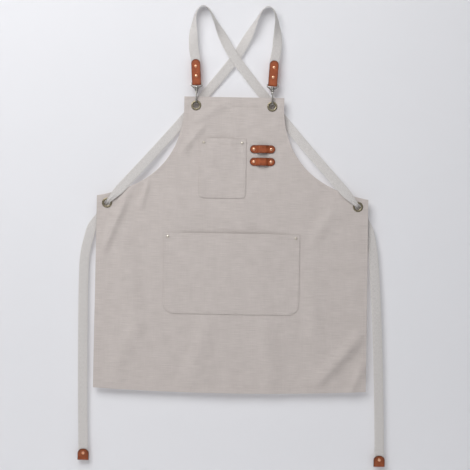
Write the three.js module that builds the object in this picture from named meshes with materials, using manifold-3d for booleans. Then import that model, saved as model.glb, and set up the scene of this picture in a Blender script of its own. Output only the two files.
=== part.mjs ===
// A cross-back canvas apron, hanging by the two loops of its shoulder straps.
// Millimetres. Seen from the front, X runs right, Y runs back and Z runs up.
// The origin is midway between the two pegs that the strap loops hang on.
import * as THREE from 'three';
import { mergeVertices } from 'three/addons/utils/BufferGeometryUtils.js';
import Module from 'manifold-3d';

const wasm = await Module();
wasm.setup();

// ---------------------------------------------------------------- sizes

const GAP = 0.3; // clearance between pieces that touch

// Panel: one piece of canvas with turned hems
const BIB_TOP = -235; // height of the bib's top edge
const BIB_WIDTH = 255;
const BIB_SIDE = 38; // straight side of the bib, above the arm curve
const WAIST_DROP = 256; // waist corner below the bib's top edge
const WAIST_WIDTH = 692.6;
const HEM_WIDTH = 696;
const PANEL_LENGTH = 746; // bib's top edge to the hem corners
const HEM_BOW = 9.5; // how far the hem's middle hangs below its corners
const CLOTH = 1;
const TOP_HEM = 25;
const SIDE_HEM = 12;
const BOTTOM_HEM = 20;
const BINDING = 10; // width of the armhole binding
const BINDING_THICKNESS = 0.7;

// Grommets: an eyelet pressed through the cloth on to a washer
const GROMMET_HOLE = 7.5; // radius
const BARREL_WALL = 0.7;
const FLANGE = 5.5; // from the hole's edge to the flange's edge
const FLANGE_THICKNESS = 1.4;
const CURL_THICKNESS = 0.8;
const WASHER_THICKNESS = 0.8;
const BIB_GROMMET_IN = 30.5; // from the bib's side
const BIB_GROMMET_DOWN = 22.5; // from the bib's top edge
const WAIST_GROMMET_IN = 26.3;
const WAIST_GROMMET_DOWN = 18.5;
const PATCH = 48; // square of cloth behind each grommet
const PATCH_INSET = 3;
const PATCH_THICKNESS = 0.8;

// Pockets
const CHEST_POCKET = { width: 120, height: 152.5, x: -27, top: -340.7, corner: 12, gape: 8, rivet: 11 };
const HAND_POCKET = { width: 347, height: 206.6, x: 0, top: -582.7, corner: 28, gape: 9, rivet: 10 };

// Leather keepers beside the chest pocket
const KEEPER_LENGTH = 64.4;
const KEEPER_WIDTH = 20.7;
const KEEPER_THICKNESS = 2;
const KEEPER_RISE = 6.5; // space under the arch
const KEEPER_RIVETS = 43.9; // spacing
const KEEPER_X = 74.3;
const KEEPER_HEIGHTS = { upper: -366.7, lower: -398.8 };

// Rivets
const CAP_RIVET = 3.75; // head radius
const SMALL_RIVET = 3.5;
const RIVET_POST = 1.5;
const RIVET_HOLE = RIVET_POST + GAP;

// Webbing and its leather ends
const WEB_WIDTH = 24;
const WEB_THICKNESS = 2;
const LEATHER = 1.8;
const TAB_LENGTH = 62; // above the eye's bar
const TAB_MARGIN = 0.5; // the tab is this much narrower than the webbing, each side
const TAB_LEAN = 3.5; // degrees, tops outwards
const TAB_RIVETS = [19, 44]; // above the eye's bar
const TAB_START = 8; // the webbing's end inside the tab, above the bar
const GATHER_SLACK = 3; // between a grommet's hole and the edge of the webbing drawn through it
const GATHER_WIDTH = 2 * (GROMMET_HOLE - GATHER_SLACK);
const GATHER_THICKNESS = 1.6 * WEB_THICKNESS;
const GATHER_LENGTH = 55;
const CROSSING_DROP = 134;
const CROSSING_DEPTH = { left: 7.3, right: 7.3 + 2 * WEB_THICKNESS }; // by the loop that the strap makes
const LOOP_TWIST = 80; // degrees that the webbing turns on edge over its peg
const TWIST_SPREAD = 85;

// Swivel hooks, measured down from the bar that the leather folds round
const HOOK_REACH = 56; // bar to the centre of the bib grommet
const BAR_RADIUS = 1.4;
const EYE_DEPTH = 13.5; // bar to the underside of the eye
const BOSS_HEIGHT = 6.5;
const PIVOT_POST = 1.6;
const HOOK_THICKNESS = 3.6;
const RING_WIDTH = 13; // inside
const RING_WIRE = 3.2;
const RING_SLACK = 1.7; // between the hole's top and the ring's inner floor
const RING_DROP = GROMMET_HOLE - RING_SLACK; // from the grommet's centre up to that floor
const GATE_PIVOT = 21.5;
const GATE_PIN = 0.8;
const GATE_THICKNESS = 2.8;
const KNUCKLE = 1.9; // radius of the gate's knuckle round its pin
const TONGUE = 1.4; // thickness of that knuckle
// The tab that a thumb presses; its reach is measured back from the middle of the gate.
const THUMB = { top: -27, foot: -30, reach: 3.9 };
const NOSE_TOP = -32; // the ring's open end, which the gate meets
const COLLAR_LENGTH = 2.7;
const POST_HEAD = 1.2; // thickness and overhang of the head that holds the pivot post in the boss
const CHEEK = 1.2; // how far the fork's cheeks stand out each side of the hook
const FORK_DEPTH = 3.1; // the fork's front face ahead of the gate's pin

// Waist ties: webbing that hangs free from the waist grommets
const TIE_TAB = { width: 28, height: 29, rivetDown: 11, fold: 3 };

// ---------------------------------------------------------------- finishes

const cloth = new THREE.MeshStandardMaterial({ color: 0xc2b9b6, roughness: 0.92, metalness: 0 });
const web = new THREE.MeshStandardMaterial({ color: 0xb6b3ac, roughness: 0.85, metalness: 0 });
const leather = new THREE.MeshStandardMaterial({ color: 0xa55642, roughness: 0.55, metalness: 0 });
const copper = new THREE.MeshStandardMaterial({ color: 0xd9976b, roughness: 0.3, metalness: 1 });
const brass = new THREE.MeshStandardMaterial({ color: 0x6d6650, roughness: 0.4, metalness: 1 });
const bronze = new THREE.MeshStandardMaterial({ color: 0x4a4540, roughness: 0.35, metalness: 1 });
const steel = new THREE.MeshStandardMaterial({ color: 0xa8a8a8, roughness: 0.3, metalness: 1 });

// ---------------------------------------------------------------- helpers

const SIDES = { left: -1, right: 1 };
const smooth = (t) => THREE.MathUtils.smoothstep(t, 0, 1);

// A closed three.js geometry as a solid that can be joined and cut.
function solid(geometry) {
  const bare = geometry.clone();
  bare.deleteAttribute('normal');
  bare.deleteAttribute('uv');
  const merged = mergeVertices(bare, 1e-3);
  return new wasm.Manifold(new wasm.Mesh({
    numProp: 3,
    vertProperties: merged.attributes.position.array,
    triVerts: Uint32Array.from(merged.index.array),
  }));
}

// A joined or cut solid as a three.js geometry.
function geometryOf(body) {
  const { vertProperties, triVerts } = body.getMesh();
  const geometry = new THREE.BufferGeometry();
  geometry.setAttribute('position', new THREE.BufferAttribute(vertProperties, 3));
  geometry.setIndex(new THREE.BufferAttribute(triVerts, 1));
  geometry.computeVertexNormals();
  return geometry;
}

const joined = (first, ...rest) => rest.reduce((body, piece) => body.add(piece), first);
const cutBy = (first, ...tools) => tools.reduce((body, tool) => body.subtract(tool), first);

// A flat outline in X and Z, given thickness from y = front to y = back.
function plate(points, front, back) {
  const outline = new THREE.Shape(points);
  const geometry = new THREE.ExtrudeGeometry(outline, { depth: back - front, bevelEnabled: false });
  geometry.rotateX(Math.PI / 2);
  geometry.translate(0, back, 0);
  return solid(geometry);
}

// A profile in Y and Z, given width along X.
function slice(outline, left, right) {
  const geometry = new THREE.ExtrudeGeometry(outline, {
    depth: right - left,
    bevelEnabled: false,
    curveSegments: 4,
  });
  geometry.rotateY(Math.PI / 2);
  geometry.rotateX(Math.PI / 2);
  geometry.translate(left, 0, 0);
  return solid(geometry);
}

function block([x0, x1], [y0, y1], [z0, z1]) {
  const geometry = new THREE.BoxGeometry(x1 - x0, y1 - y0, z1 - z0);
  geometry.translate((x0 + x1) / 2, (y0 + y1) / 2, (z0 + z1) / 2);
  return solid(geometry);
}

// A round rod along 'x', 'y' or 'z', from one place on that axis to another.
function rodGeometry(axis, radius, from, to, sides = 10) {
  const geometry = new THREE.CylinderGeometry(radius, radius, to - from, sides);
  geometry.translate(0, (from + to) / 2, 0);
  if (axis === 'x') geometry.rotateZ(-Math.PI / 2);
  if (axis === 'z') geometry.rotateX(Math.PI / 2);
  return geometry;
}

// The same rod as a cutting or joining tool, moved to a place.
function rod(axis, radius, from, to, at = [0, 0, 0], sides = 10) {
  const geometry = rodGeometry(axis, radius, from, to, sides);
  geometry.translate(...at);
  return solid(geometry);
}

function ring(profile, sides = 16) {
  const closed = [...profile, profile[0]].map(([r, y]) => new THREE.Vector2(r, y));
  return new THREE.LatheGeometry(closed, sides);
}

// A rivet along Y: a domed head before y = front, a post, and a domed head behind y = back.
function rivetGeometry(head, front, back) {
  const rise = head * 0.42;
  const half = [[head, 0], [head * 0.75, rise * 0.75], [0, rise]];
  const profile = [
    ...half.map(([r, y]) => [r, front - y]).reverse(),
    [RIVET_POST, front],
    [RIVET_POST, back],
    ...half.map(([r, y]) => [r, back + y]),
  ];
  return new THREE.LatheGeometry(profile.map(([r, y]) => new THREE.Vector2(r, y)), 10);
}

const apron = new THREE.Group();

function place(name, geometry, material, at = [0, 0, 0], parent = apron) {
  const mesh = new THREE.Mesh(geometry, material);
  mesh.name = name;
  mesh.position.set(...at);
  parent.add(mesh);
  return mesh;
}

// ---------------------------------------------------------------- panel outline

const WAIST = new THREE.Vector2(WAIST_WIDTH / 2, BIB_TOP - WAIST_DROP);
const HEM = new THREE.Vector2(HEM_WIDTH / 2, BIB_TOP - PANEL_LENGTH);
const ARMPIT = new THREE.Vector2(BIB_WIDTH / 2, BIB_TOP - BIB_SIDE);

// The arm curve falls straight from the bib and sweeps out to the waist corner.
const ARM_REACH = WAIST.x - ARMPIT.x;
const ARM_FALL = ARMPIT.y - WAIST.y;
const armCurve = new THREE.CubicBezierCurve(
  ARMPIT,
  new THREE.Vector2(ARMPIT.x + 0.035 * ARM_REACH, ARMPIT.y - 0.445 * ARM_FALL),
  new THREE.Vector2(ARMPIT.x + 0.257 * ARM_REACH, ARMPIT.y - 0.865 * ARM_FALL),
  WAIST,
);

// The arm curve, moved into the cloth by a distance.
function armPoints(inset, steps = 20) {
  return Array.from({ length: steps + 1 }, (_, i) => {
    const tangent = armCurve.getTangent(i / steps);
    const inward = new THREE.Vector2(tangent.y, -tangent.x);
    return armCurve.getPoint(i / steps).addScaledVector(inward, inset);
  });
}

// The right half of the panel's edge from the bib's top centre to the hem's centre, then its mirror.
function panelOutline({ top = 0, arm = 0, side = 0, bottom = 0 } = {}) {
  const hemSteps = 6;
  const right = [new THREE.Vector2(BIB_WIDTH / 2 - arm, BIB_TOP - top), ...armPoints(arm)];
  const last = right.pop();
  right.push(new THREE.Vector2(Math.min(last.x, WAIST.x - side), last.y));
  for (let i = 0; i < hemSteps; i += 1) {
    const across = 1 - i / hemSteps;
    const sag = HEM_BOW * (1 - across * across);
    right.push(new THREE.Vector2((HEM.x - side) * across, HEM.y + bottom - sag));
  }
  const lowest = new THREE.Vector2(0, HEM.y + bottom - HEM_BOW);
  const left = right.map((p) => new THREE.Vector2(-p.x, p.y)).reverse();
  return [...right, lowest, ...left].reverse();
}

const HEM_BACK = 2 * CLOTH;
const FAR = 50; // how far cutting tools run past what they cut

// ---------------------------------------------------------------- grommet places and depths

const GROMMETS = Object.entries(SIDES).flatMap(([side, sign]) => [
  { name: `bib_${side}`, x: sign * (BIB_WIDTH / 2 - BIB_GROMMET_IN), z: BIB_TOP - BIB_GROMMET_DOWN },
  { name: `waist_${side}`, x: sign * (WAIST.x - WAIST_GROMMET_IN), z: WAIST.y - WAIST_GROMMET_DOWN },
]);
const BARREL = GROMMET_HOLE + BARREL_WALL;
const CLOTH_HOLE = BARREL + GAP;
const FLANGE_EDGE = GROMMET_HOLE + FLANGE;
const PATCH_FRONT = HEM_BACK + GAP;
const WASHER_FRONT = PATCH_FRONT + PATCH_THICKNESS + GAP;
const CURL_FRONT = WASHER_FRONT + WASHER_THICKNESS + GAP;
const CURL_BACK = CURL_FRONT + CURL_THICKNESS;
const FLANGE_FRONT = -GAP - FLANGE_THICKNESS;
const GROMMET_MIDDLE = (FLANGE_FRONT + CURL_BACK) / 2;

const grommetHoles = GROMMETS.map(({ x, z }) => rod('y', CLOTH_HOLE, -FAR, FAR, [x, 0, z], 16));

// ---------------------------------------------------------------- rivet places on the panel

const pocketRivets = [['chest', CHEST_POCKET], ['hand', HAND_POCKET]].flatMap(([name, pocket]) =>
  Object.entries(SIDES).map(([side, sign]) => ({
    name: `${name}_pocket_rivet_${side}`,
    x: pocket.x + sign * (pocket.width / 2 - pocket.rivet),
    z: pocket.top - pocket.rivet,
  })));
const keeperRivets = Object.entries(KEEPER_HEIGHTS).flatMap(([height, z]) =>
  Object.entries(SIDES).map(([side, sign]) => ({
    name: `keeper_rivet_${height}_${side}`,
    x: KEEPER_X + (sign * KEEPER_RIVETS) / 2,
    z,
  })));
const rivetHoles = [...pocketRivets, ...keeperRivets].map(({ x, z }) => (
  rod('y', RIVET_HOLE, -FAR, FAR, [x, 0, z])
));

// ---------------------------------------------------------------- panel, bindings and patches

function armBand(sign, extra = 0) {
  const overrun = armCurve.getTangent(1).multiplyScalar(extra);
  const edge = armPoints(-extra);
  const inner = armPoints(BINDING + extra).reverse();
  edge.at(-1).add(overrun);
  inner[0].add(overrun);
  const start = BIB_TOP - TOP_HEM - GAP + extra;
  const band = [
    new THREE.Vector2(ARMPIT.x + extra, start),
    ...edge,
    ...inner,
    new THREE.Vector2(ARMPIT.x - BINDING - extra, start),
  ].map((p) => new THREE.Vector2(sign * p.x, p.y));
  return sign > 0 ? band.reverse() : band;
}

const hems = cutBy(
  plate(panelOutline(), CLOTH / 2, HEM_BACK),
  plate(panelOutline({ top: TOP_HEM, side: SIDE_HEM, bottom: BOTTOM_HEM }), 0, FAR),
  ...Object.values(SIDES).map((sign) => plate(armBand(sign, GAP), CLOTH, FAR)),
);
const panel = cutBy(joined(plate(panelOutline(), 0, CLOTH), hems), ...grommetHoles, ...rivetHoles);
place('apron_panel', geometryOf(panel), cloth);

for (const [side, sign] of Object.entries(SIDES)) {
  const front = HEM_BACK - BINDING_THICKNESS;
  const binding = cutBy(plate(armBand(sign), front, HEM_BACK), ...grommetHoles);
  place(`armhole_binding_${side}`, geometryOf(binding), cloth);
}

const patchField = plate(
  panelOutline({ top: PATCH_INSET, arm: PATCH_INSET, side: PATCH_INSET, bottom: PATCH_INSET }),
  PATCH_FRONT,
  PATCH_FRONT + PATCH_THICKNESS,
);
for (const { name, x, z } of GROMMETS) {
  const square = block([x - PATCH / 2, x + PATCH / 2], [0, FAR], [z - PATCH / 2, z + PATCH / 2]);
  const patch = cutBy(patchField.intersect(square), ...grommetHoles);
  place(`grommet_patch_${name}`, geometryOf(patch), cloth);
}

// ---------------------------------------------------------------- grommets

const eyeletProfile = [
  [GROMMET_HOLE, -GAP - FLANGE_THICKNESS / 2],
  [GROMMET_HOLE + 1.1, FLANGE_FRONT],
  [FLANGE_EDGE - 1.4, FLANGE_FRONT],
  [FLANGE_EDGE, -GAP - FLANGE_THICKNESS / 2],
  [FLANGE_EDGE - 0.3, -GAP],
  [BARREL, -GAP],
  [BARREL, CURL_FRONT],
  [BARREL + 1.8, CURL_FRONT],
  [BARREL + 1.4, CURL_BACK],
  [GROMMET_HOLE + 0.4, CURL_BACK],
  [GROMMET_HOLE, CURL_BACK - 0.4],
];
const washerProfile = [
  [CLOTH_HOLE, WASHER_FRONT],
  [FLANGE_EDGE, WASHER_FRONT],
  [FLANGE_EDGE, WASHER_FRONT + WASHER_THICKNESS / 2],
  [FLANGE_EDGE - 0.5, WASHER_FRONT + WASHER_THICKNESS],
  [CLOTH_HOLE, WASHER_FRONT + WASHER_THICKNESS],
];
for (const { name, x, z } of GROMMETS) {
  place(`grommet_${name}`, ring(eyeletProfile), brass, [x, 0, z]);
  place(`grommet_washer_${name}`, ring(washerProfile), brass, [x, 0, z]);
}

// ---------------------------------------------------------------- pockets

// A patch pocket: flat along its sewn sides and foot, and standing open at its mouth.
function pocketGeometry({ width, height, x, top, corner, gape, rivet }) {
  const columns = 12;
  const geometry = new THREE.BoxGeometry(1, CLOTH, 1, columns, 1, 8);
  const position = geometry.attributes.position;
  const sewn = rivet + CAP_RIVET; // the outermost column, which lies on the panel
  const free = 1 - 2 / columns;
  for (let i = 0; i < position.count; i += 1) {
    const share = position.getZ(i) + 0.5;
    const rise = height * share ** 1.5;
    const tuck = Math.max(0, corner - rise);
    const halfWidth = width / 2 - corner + Math.sqrt(corner ** 2 - tuck ** 2);
    const column = Math.abs(position.getX(i)) * 2;
    const reach = column <= free
      ? (column / free) * (halfWidth - sewn)
      : halfWidth - ((1 - column) / (1 - free)) * sewn;
    const across = Math.sign(position.getX(i)) * reach;
    const inside = (width / 2 - sewn - Math.abs(across)) / (width / 4);
    const open = gape * smooth(inside) * smooth(rise / height);
    position.setXYZ(i, x + across, position.getY(i) - GAP - CLOTH / 2 - open, top - height + rise);
  }
  return geometry;
}

const chestPocket = cutBy(solid(pocketGeometry(CHEST_POCKET)), ...rivetHoles);
const handPocket = cutBy(solid(pocketGeometry(HAND_POCKET)), ...rivetHoles);
place('chest_pocket', geometryOf(chestPocket), cloth);
place('hand_pocket', geometryOf(handPocket), cloth);

for (const { name, x, z } of pocketRivets) {
  place(name, rivetGeometry(SMALL_RIVET, -2 * GAP - CLOTH, CLOTH + GAP), brass, [x, 0, z]);
}

// ---------------------------------------------------------------- leather keepers

function keeperSolid(z) {
  const strap = new THREE.BoxGeometry(KEEPER_LENGTH, KEEPER_THICKNESS, KEEPER_WIDTH, 20, 1, 1);
  const position = strap.attributes.position;
  const foot = KEEPER_RIVETS / 2 - CAP_RIVET - 1.5; // the arch rises inside this half-length
  for (let i = 0; i < position.count; i += 1) {
    const rise = KEEPER_RISE * smooth((foot - Math.abs(position.getX(i))) / (foot * 0.6));
    position.setY(i, position.getY(i) - GAP - KEEPER_THICKNESS / 2 - rise);
  }
  strap.translate(KEEPER_X, 0, z);
  const end = KEEPER_WIDTH / 2;
  const reach = KEEPER_LENGTH / 2 - end;
  const outline = new THREE.Shape();
  outline.absarc(KEEPER_X + reach, z, end, -Math.PI / 2, Math.PI / 2);
  outline.absarc(KEEPER_X - reach, z, end, Math.PI / 2, (3 * Math.PI) / 2);
  return solid(strap).intersect(plate(outline.getPoints(10), -FAR, FAR));
}

for (const [height, z] of Object.entries(KEEPER_HEIGHTS)) {
  place(`keeper_strap_${height}`, geometryOf(cutBy(keeperSolid(z), ...rivetHoles)), leather);
}
for (const { name, x, z } of keeperRivets) {
  const underHead = -2 * GAP - KEEPER_THICKNESS;
  place(name, rivetGeometry(CAP_RIVET, underHead, CLOTH + GAP), copper, [x, 0, z]);
}

// ---------------------------------------------------------------- webbing

// Distances along a route for its sections, close together in the zones where it bends sharply.
function stations(length, sharpZones) {
  const straightStep = 16;
  const list = [0];
  while (list.at(-1) < length) {
    const zone = sharpZones.find(({ from, to }) => list.at(-1) >= from && list.at(-1) < to);
    list.push(Math.min(length, list.at(-1) + (zone ? zone.step : straightStep)));
  }
  return list;
}

// Webbing along a route. Its width lies across the route and square to Y, and turns on edge by twist;
// width, thickness and twist are functions of the distance along the route and its whole length.
function webbing(points, { width, thickness, twist = () => 0, sharpZones }) {
  const route = new THREE.CatmullRomCurve3(points.map((p) => new THREE.Vector3(...p)), false, 'centripetal');
  route.arcLengthDivisions = 1000;
  const length = route.getLength();
  const sections = stations(length, sharpZones(length));
  const geometry = new THREE.BoxGeometry(1, 1, 1, 1, 1, sections.length - 1);
  const position = geometry.attributes.position;
  for (let i = 0; i < position.count; i += 1) {
    const distance = sections[Math.round((position.getZ(i) + 0.5) * (sections.length - 1))];
    const share = distance / length;
    const along = route.getTangentAt(share);
    const flat = new THREE.Vector3().crossVectors(along, new THREE.Vector3(0, 1, 0)).normalize();
    const face = new THREE.Vector3().crossVectors(along, flat);
    const turn = twist(distance, length);
    const across = flat.clone().multiplyScalar(Math.cos(turn)).addScaledVector(face, Math.sin(turn));
    const normal = new THREE.Vector3().crossVectors(along, across);
    const point = route.getPointAt(share)
      .addScaledVector(across, position.getX(i) * width(distance, length))
      .addScaledVector(normal, position.getY(i) * thickness(distance, length));
    position.setXYZ(i, point.x, point.y, point.z);
  }
  return geometry;
}

// How far the webbing is from being drawn together, from 0 at the grommet to 1 where it lies flat.
const spread = (distance) => smooth((distance - 10) / GATHER_LENGTH);
const drawnWidth = (distance) => THREE.MathUtils.lerp(GATHER_WIDTH, WEB_WIDTH, spread(distance));
const drawnThickness = (distance) => THREE.MathUtils.lerp(GATHER_THICKNESS, WEB_THICKNESS, spread(distance));

// ---------------------------------------------------------------- shoulder straps

const HOOK_X = BIB_WIDTH / 2 - BIB_GROMMET_IN;
const BAR_Z = BIB_TOP - BIB_GROMMET_DOWN + HOOK_REACH;
const LEAN = THREE.MathUtils.degToRad(TAB_LEAN);
const TAB_TOP_Z = BAR_Z + TAB_LENGTH * Math.cos(LEAN);
const WAIST_GROMMET = { x: WAIST.x - WAIST_GROMMET_IN, z: WAIST.y - WAIST_GROMMET_DOWN };

// A place on the leather tab's centre line, at a height above the eye's bar.
const onTab = (sign, height) => [
  sign * (HOOK_X + height * Math.sin(LEAN)),
  GROMMET_MIDDLE,
  BAR_Z + height * Math.cos(LEAN),
];

// From the tab up over the peg, down across the back, and to the front of the other side's waist.
function shoulderRoute(sign, crossingDepth) {
  const tabTopX = HOOK_X + TAB_LENGTH * Math.sin(LEAN);
  const loop = [[4.6, 3, 0.834], [6.9, 4, 0.548], [5.8, 5, 0.37], [3.2, 5.4, 0.205], [-2, 5.8, 0.098],
    [-9, 6, 0.032], [-18.5, 6.2, 0.008], [-28.5, 6.5, 0.045], [-36.5, 6.8, 0.12], [-43.5, 7, 0.213],
    [-54.5, 7, 0.37], [-71, crossingDepth - 0.3, 0.603]];
  const bow = 8;
  const diagonal = [[0.303, 16.5], [0.45, 12], [0.62, 5], [0.8, -1.9], [0.91, -3.9]];
  const rim = (CURL_BACK - FLANGE_FRONT) / 2;
  const clear = rim + GATHER_THICKNESS / 2;
  const through = [
    [-1.87, -clear - 1.3], [-0.93, -clear - 0.8], [-0.35, 0.1 - rim],
    [0, 0], [0.35, rim - 0.1], [1, clear + 1],
  ].map(([share, depth]) => [share * GROMMET_HOLE, depth]);
  const downwards = new THREE.Vector2(WAIST_GROMMET.x, WAIST_GROMMET.z + CROSSING_DROP).normalize();
  return [
    onTab(sign, TAB_START),
    onTab(sign, TAB_LENGTH / 2),
    onTab(sign, TAB_LENGTH),
    ...loop.map(([x, y, drop]) => [sign * (tabTopX + x), y, drop * TAB_TOP_Z]),
    [0, crossingDepth, -CROSSING_DROP],
    ...diagonal.map(([share, y]) => [
      -sign * share * WAIST_GROMMET.x,
      y,
      -CROSSING_DROP + share * (WAIST_GROMMET.z + CROSSING_DROP) - bow * Math.sin(Math.PI * share),
    ]),
    ...through.map(([along, depth]) => [
      -sign * (WAIST_GROMMET.x + along * downwards.x),
      GROMMET_MIDDLE + depth,
      WAIST_GROMMET.z + along * downwards.y,
    ]),
  ];
}

const tabRivetHoles = Object.values(SIDES).flatMap((sign) => TAB_RIVETS.map((height) => (
  rod('y', RIVET_HOLE, -FAR, FAR, onTab(sign, height))
)));
const toLoopTop = -TAB_TOP_Z + TAB_LENGTH - TAB_START + 12; // along the webbing, from its end in the tab
const loopTwist = (sign) => (distance) => {
  const away = Math.abs(distance - toLoopTop) / TWIST_SPREAD;
  return sign * THREE.MathUtils.degToRad(LOOP_TWIST) * Math.exp(-(away ** 3));
};
for (const [side, sign] of Object.entries(SIDES)) {
  const strap = webbing(shoulderRoute(sign, CROSSING_DEPTH[side]), {
    width: (distance, length) => drawnWidth(length - distance),
    thickness: (distance, length) => drawnThickness(length - distance),
    twist: loopTwist(sign),
    sharpZones: (length) => [
      { from: toLoopTop - 90, to: toLoopTop + 90, step: 5 },
      { from: length - 30, to: length, step: 2.5 },
    ],
  });
  place(`shoulder_strap_${side}`, geometryOf(cutBy(solid(strap), ...tabRivetHoles)), web);
}

// ---------------------------------------------------------------- leather tabs at the hooks

const LEAF = WEB_THICKNESS / 2 + GAP; // inner face of each leather leaf, from the tab's middle
const FOLD = BAR_RADIUS + 1; // inner radius of the fold round the bar
const TAB_WIDTH = WEB_WIDTH - 2 * TAB_MARGIN;

// The outline of the folded leather seen from its edge, at a distance outside its inner face.
function foldProfile(out, top) {
  const pinch = TAB_START - 1;
  const outline = new THREE.Shape();
  outline.moveTo(LEAF + out, top);
  outline.lineTo(LEAF + out, pinch);
  outline.lineTo(FOLD + out, 0);
  outline.absarc(0, 0, FOLD + out, 0, -Math.PI, true);
  outline.lineTo(-LEAF - out, pinch);
  outline.lineTo(-LEAF - out, top);
  outline.closePath();
  return outline;
}

function tabSolid() {
  const half = TAB_WIDTH / 2;
  const outer = slice(foldProfile(LEATHER, TAB_LENGTH), -half, half);
  const inner = slice(foldProfile(0, TAB_LENGTH + FAR), -FAR, FAR);
  const outline = new THREE.Shape();
  outline.moveTo(-half, -FAR);
  outline.lineTo(half, -FAR);
  outline.absarc(0, TAB_LENGTH - half, half, 0, Math.PI);
  const holes = TAB_RIVETS.map((height) => rod('y', RIVET_HOLE, -FAR, FAR, [0, 0, height]));
  return cutBy(outer, inner, ...holes).intersect(plate(outline.getPoints(10), -FAR, FAR));
}

const tabGeometry = geometryOf(tabSolid());
const tabGrip = LEAF + LEATHER + GAP; // from the tab's middle to the underside of a rivet's head
for (const [side, sign] of Object.entries(SIDES)) {
  const tab = new THREE.Group();
  tab.position.set(...onTab(sign, 0));
  tab.rotation.y = sign * LEAN;
  apron.add(tab);
  place(`strap_tab_${side}`, tabGeometry, leather, [0, 0, 0], tab);
  TAB_RIVETS.forEach((height, i) => {
    const name = `tab_rivet_${side}_${i === 0 ? 'lower' : 'upper'}`;
    place(name, rivetGeometry(CAP_RIVET, -tabGrip, tabGrip), copper, [0, 0, height], tab);
  });
}

// ---------------------------------------------------------------- swivel hooks

const EYE_INNER = TAB_WIDTH / 2 + 2 * GAP; // half the width inside the eye
const EYE_WIRE = 2.8;
const EYE_THICKNESS = 2 * BAR_RADIUS;
const CHEEK_FOOT = -6; // where the eye's cheeks start to run in
const BOSS_TOP = -EYE_DEPTH + BOSS_HEIGHT;
const BOSS_WALL = 3.2;
const BOSS = PIVOT_POST + GAP + BOSS_WALL;

// The eye: a bar for the leather, two cheeks that run in to a boss, and the boss that the hook turns in.
function eyeSolid() {
  const outer = EYE_INNER + EYE_WIRE;
  const innerFoot = CHEEK_FOOT + 0.8;
  const frame = [[-outer, BAR_RADIUS], [-outer, CHEEK_FOOT], [-BOSS, -EYE_DEPTH], [BOSS, -EYE_DEPTH],
    [outer, CHEEK_FOOT], [outer, BAR_RADIUS]];
  const space = [[-EYE_INNER, -BAR_RADIUS], [-EYE_INNER, innerFoot], [-BOSS - 1, BOSS_TOP],
    [BOSS + 1, BOSS_TOP], [EYE_INNER, innerFoot], [EYE_INNER, -BAR_RADIUS]];
  const points = (list) => list.map(([x, z]) => new THREE.Vector2(x, z));
  const half = EYE_THICKNESS / 2;
  const barSpace = cutBy(
    block([-EYE_INNER, EYE_INNER], [-half - 1, half + 1], [-BAR_RADIUS, BAR_RADIUS + 1]),
    rod('x', BAR_RADIUS, -EYE_INNER - 1, EYE_INNER + 1),
  );
  const cheeks = cutBy(plate(points(frame), -half, half), plate(points(space), -FAR, FAR), barSpace);
  const boss = rod('z', BOSS, -EYE_DEPTH, BOSS_TOP, [0, 0, 0], 12);
  return cutBy(joined(cheeks, boss), rod('z', PIVOT_POST + GAP, -FAR, 0, [0, 0, 0], 12));
}

const COLLAR_TOP = -EYE_DEPTH - GAP;
const COLLAR_FOOT = COLLAR_TOP - COLLAR_LENGTH;
const RING_FLOOR = -HOOK_REACH + RING_DROP;
const RING_INNER = RING_WIDTH / 2;
const RING_OUTER = RING_INNER + RING_WIRE;
const GATE_Y = RING_INNER + RING_WIRE / 2;
const FORK_FOOT = -GATE_PIVOT - KNUCKLE - 2 * GAP;
const SLOT = HOOK_THICKNESS / 2 - 0.2; // half the width of the slot that the knuckle turns in
const OUTER_CORNER = RING_WIDTH / 2 + 0.2;
const INNER_CORNER = OUTER_CORNER - RING_WIRE;

// A rectangle with rounded corners, in Y and Z.
function roundedOutline(half, top, foot, radius) {
  const outline = new THREE.Shape();
  outline.absarc(half - radius, foot + radius, radius, -Math.PI / 2, 0);
  outline.absarc(half - radius, top - radius, radius, 0, Math.PI / 2);
  outline.absarc(-half + radius, top - radius, radius, Math.PI / 2, Math.PI);
  outline.absarc(-half + radius, foot + radius, radius, Math.PI, (3 * Math.PI) / 2);
  return outline;
}

function hookSolid() {
  const half = HOOK_THICKNESS / 2;
  const foot = RING_FLOOR - RING_WIRE;
  const outer = slice(roundedOutline(RING_OUTER, COLLAR_FOOT + 1, foot, OUTER_CORNER), -half, half);
  const space = roundedOutline(RING_INNER, COLLAR_FOOT - RING_WIRE, RING_FLOOR, INNER_CORNER);
  const inner = slice(space, -FAR, FAR);
  const gateway = block([-FAR, FAR], [RING_INNER - 1.5, RING_OUTER + 2], [NOSE_TOP, FORK_FOOT]);
  const forkHalf = half + CHEEK;
  const forkFront = GATE_Y - FORK_DEPTH;
  const fork = block([-forkHalf, forkHalf], [forkFront, RING_OUTER + 0.8], [FORK_FOOT, COLLAR_FOOT - 1]);
  const slotTop = -GATE_PIVOT + KNUCKLE + GAP + 0.1;
  const slot = block([-SLOT, SLOT], [forkFront - 0.5, FAR], [NOSE_TOP, slotTop]);
  const headFoot = BOSS_TOP + GAP;
  const neck = joined(
    rod('z', BOSS - 0.2, COLLAR_FOOT - 1, COLLAR_TOP, [0, 0, 0], 12),
    rod('z', PIVOT_POST, COLLAR_TOP - 1, headFoot + 1, [0, 0, 0], 12),
    rod('z', PIVOT_POST + POST_HEAD, headFoot, headFoot + POST_HEAD, [0, 0, 0], 12),
  );
  const pinHole = rod('x', GATE_PIN + GAP, -FAR, FAR, [0, GATE_Y, -GATE_PIVOT]);
  return cutBy(joined(cutBy(outer, inner, gateway), fork, neck), slot, pinHole);
}

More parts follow.
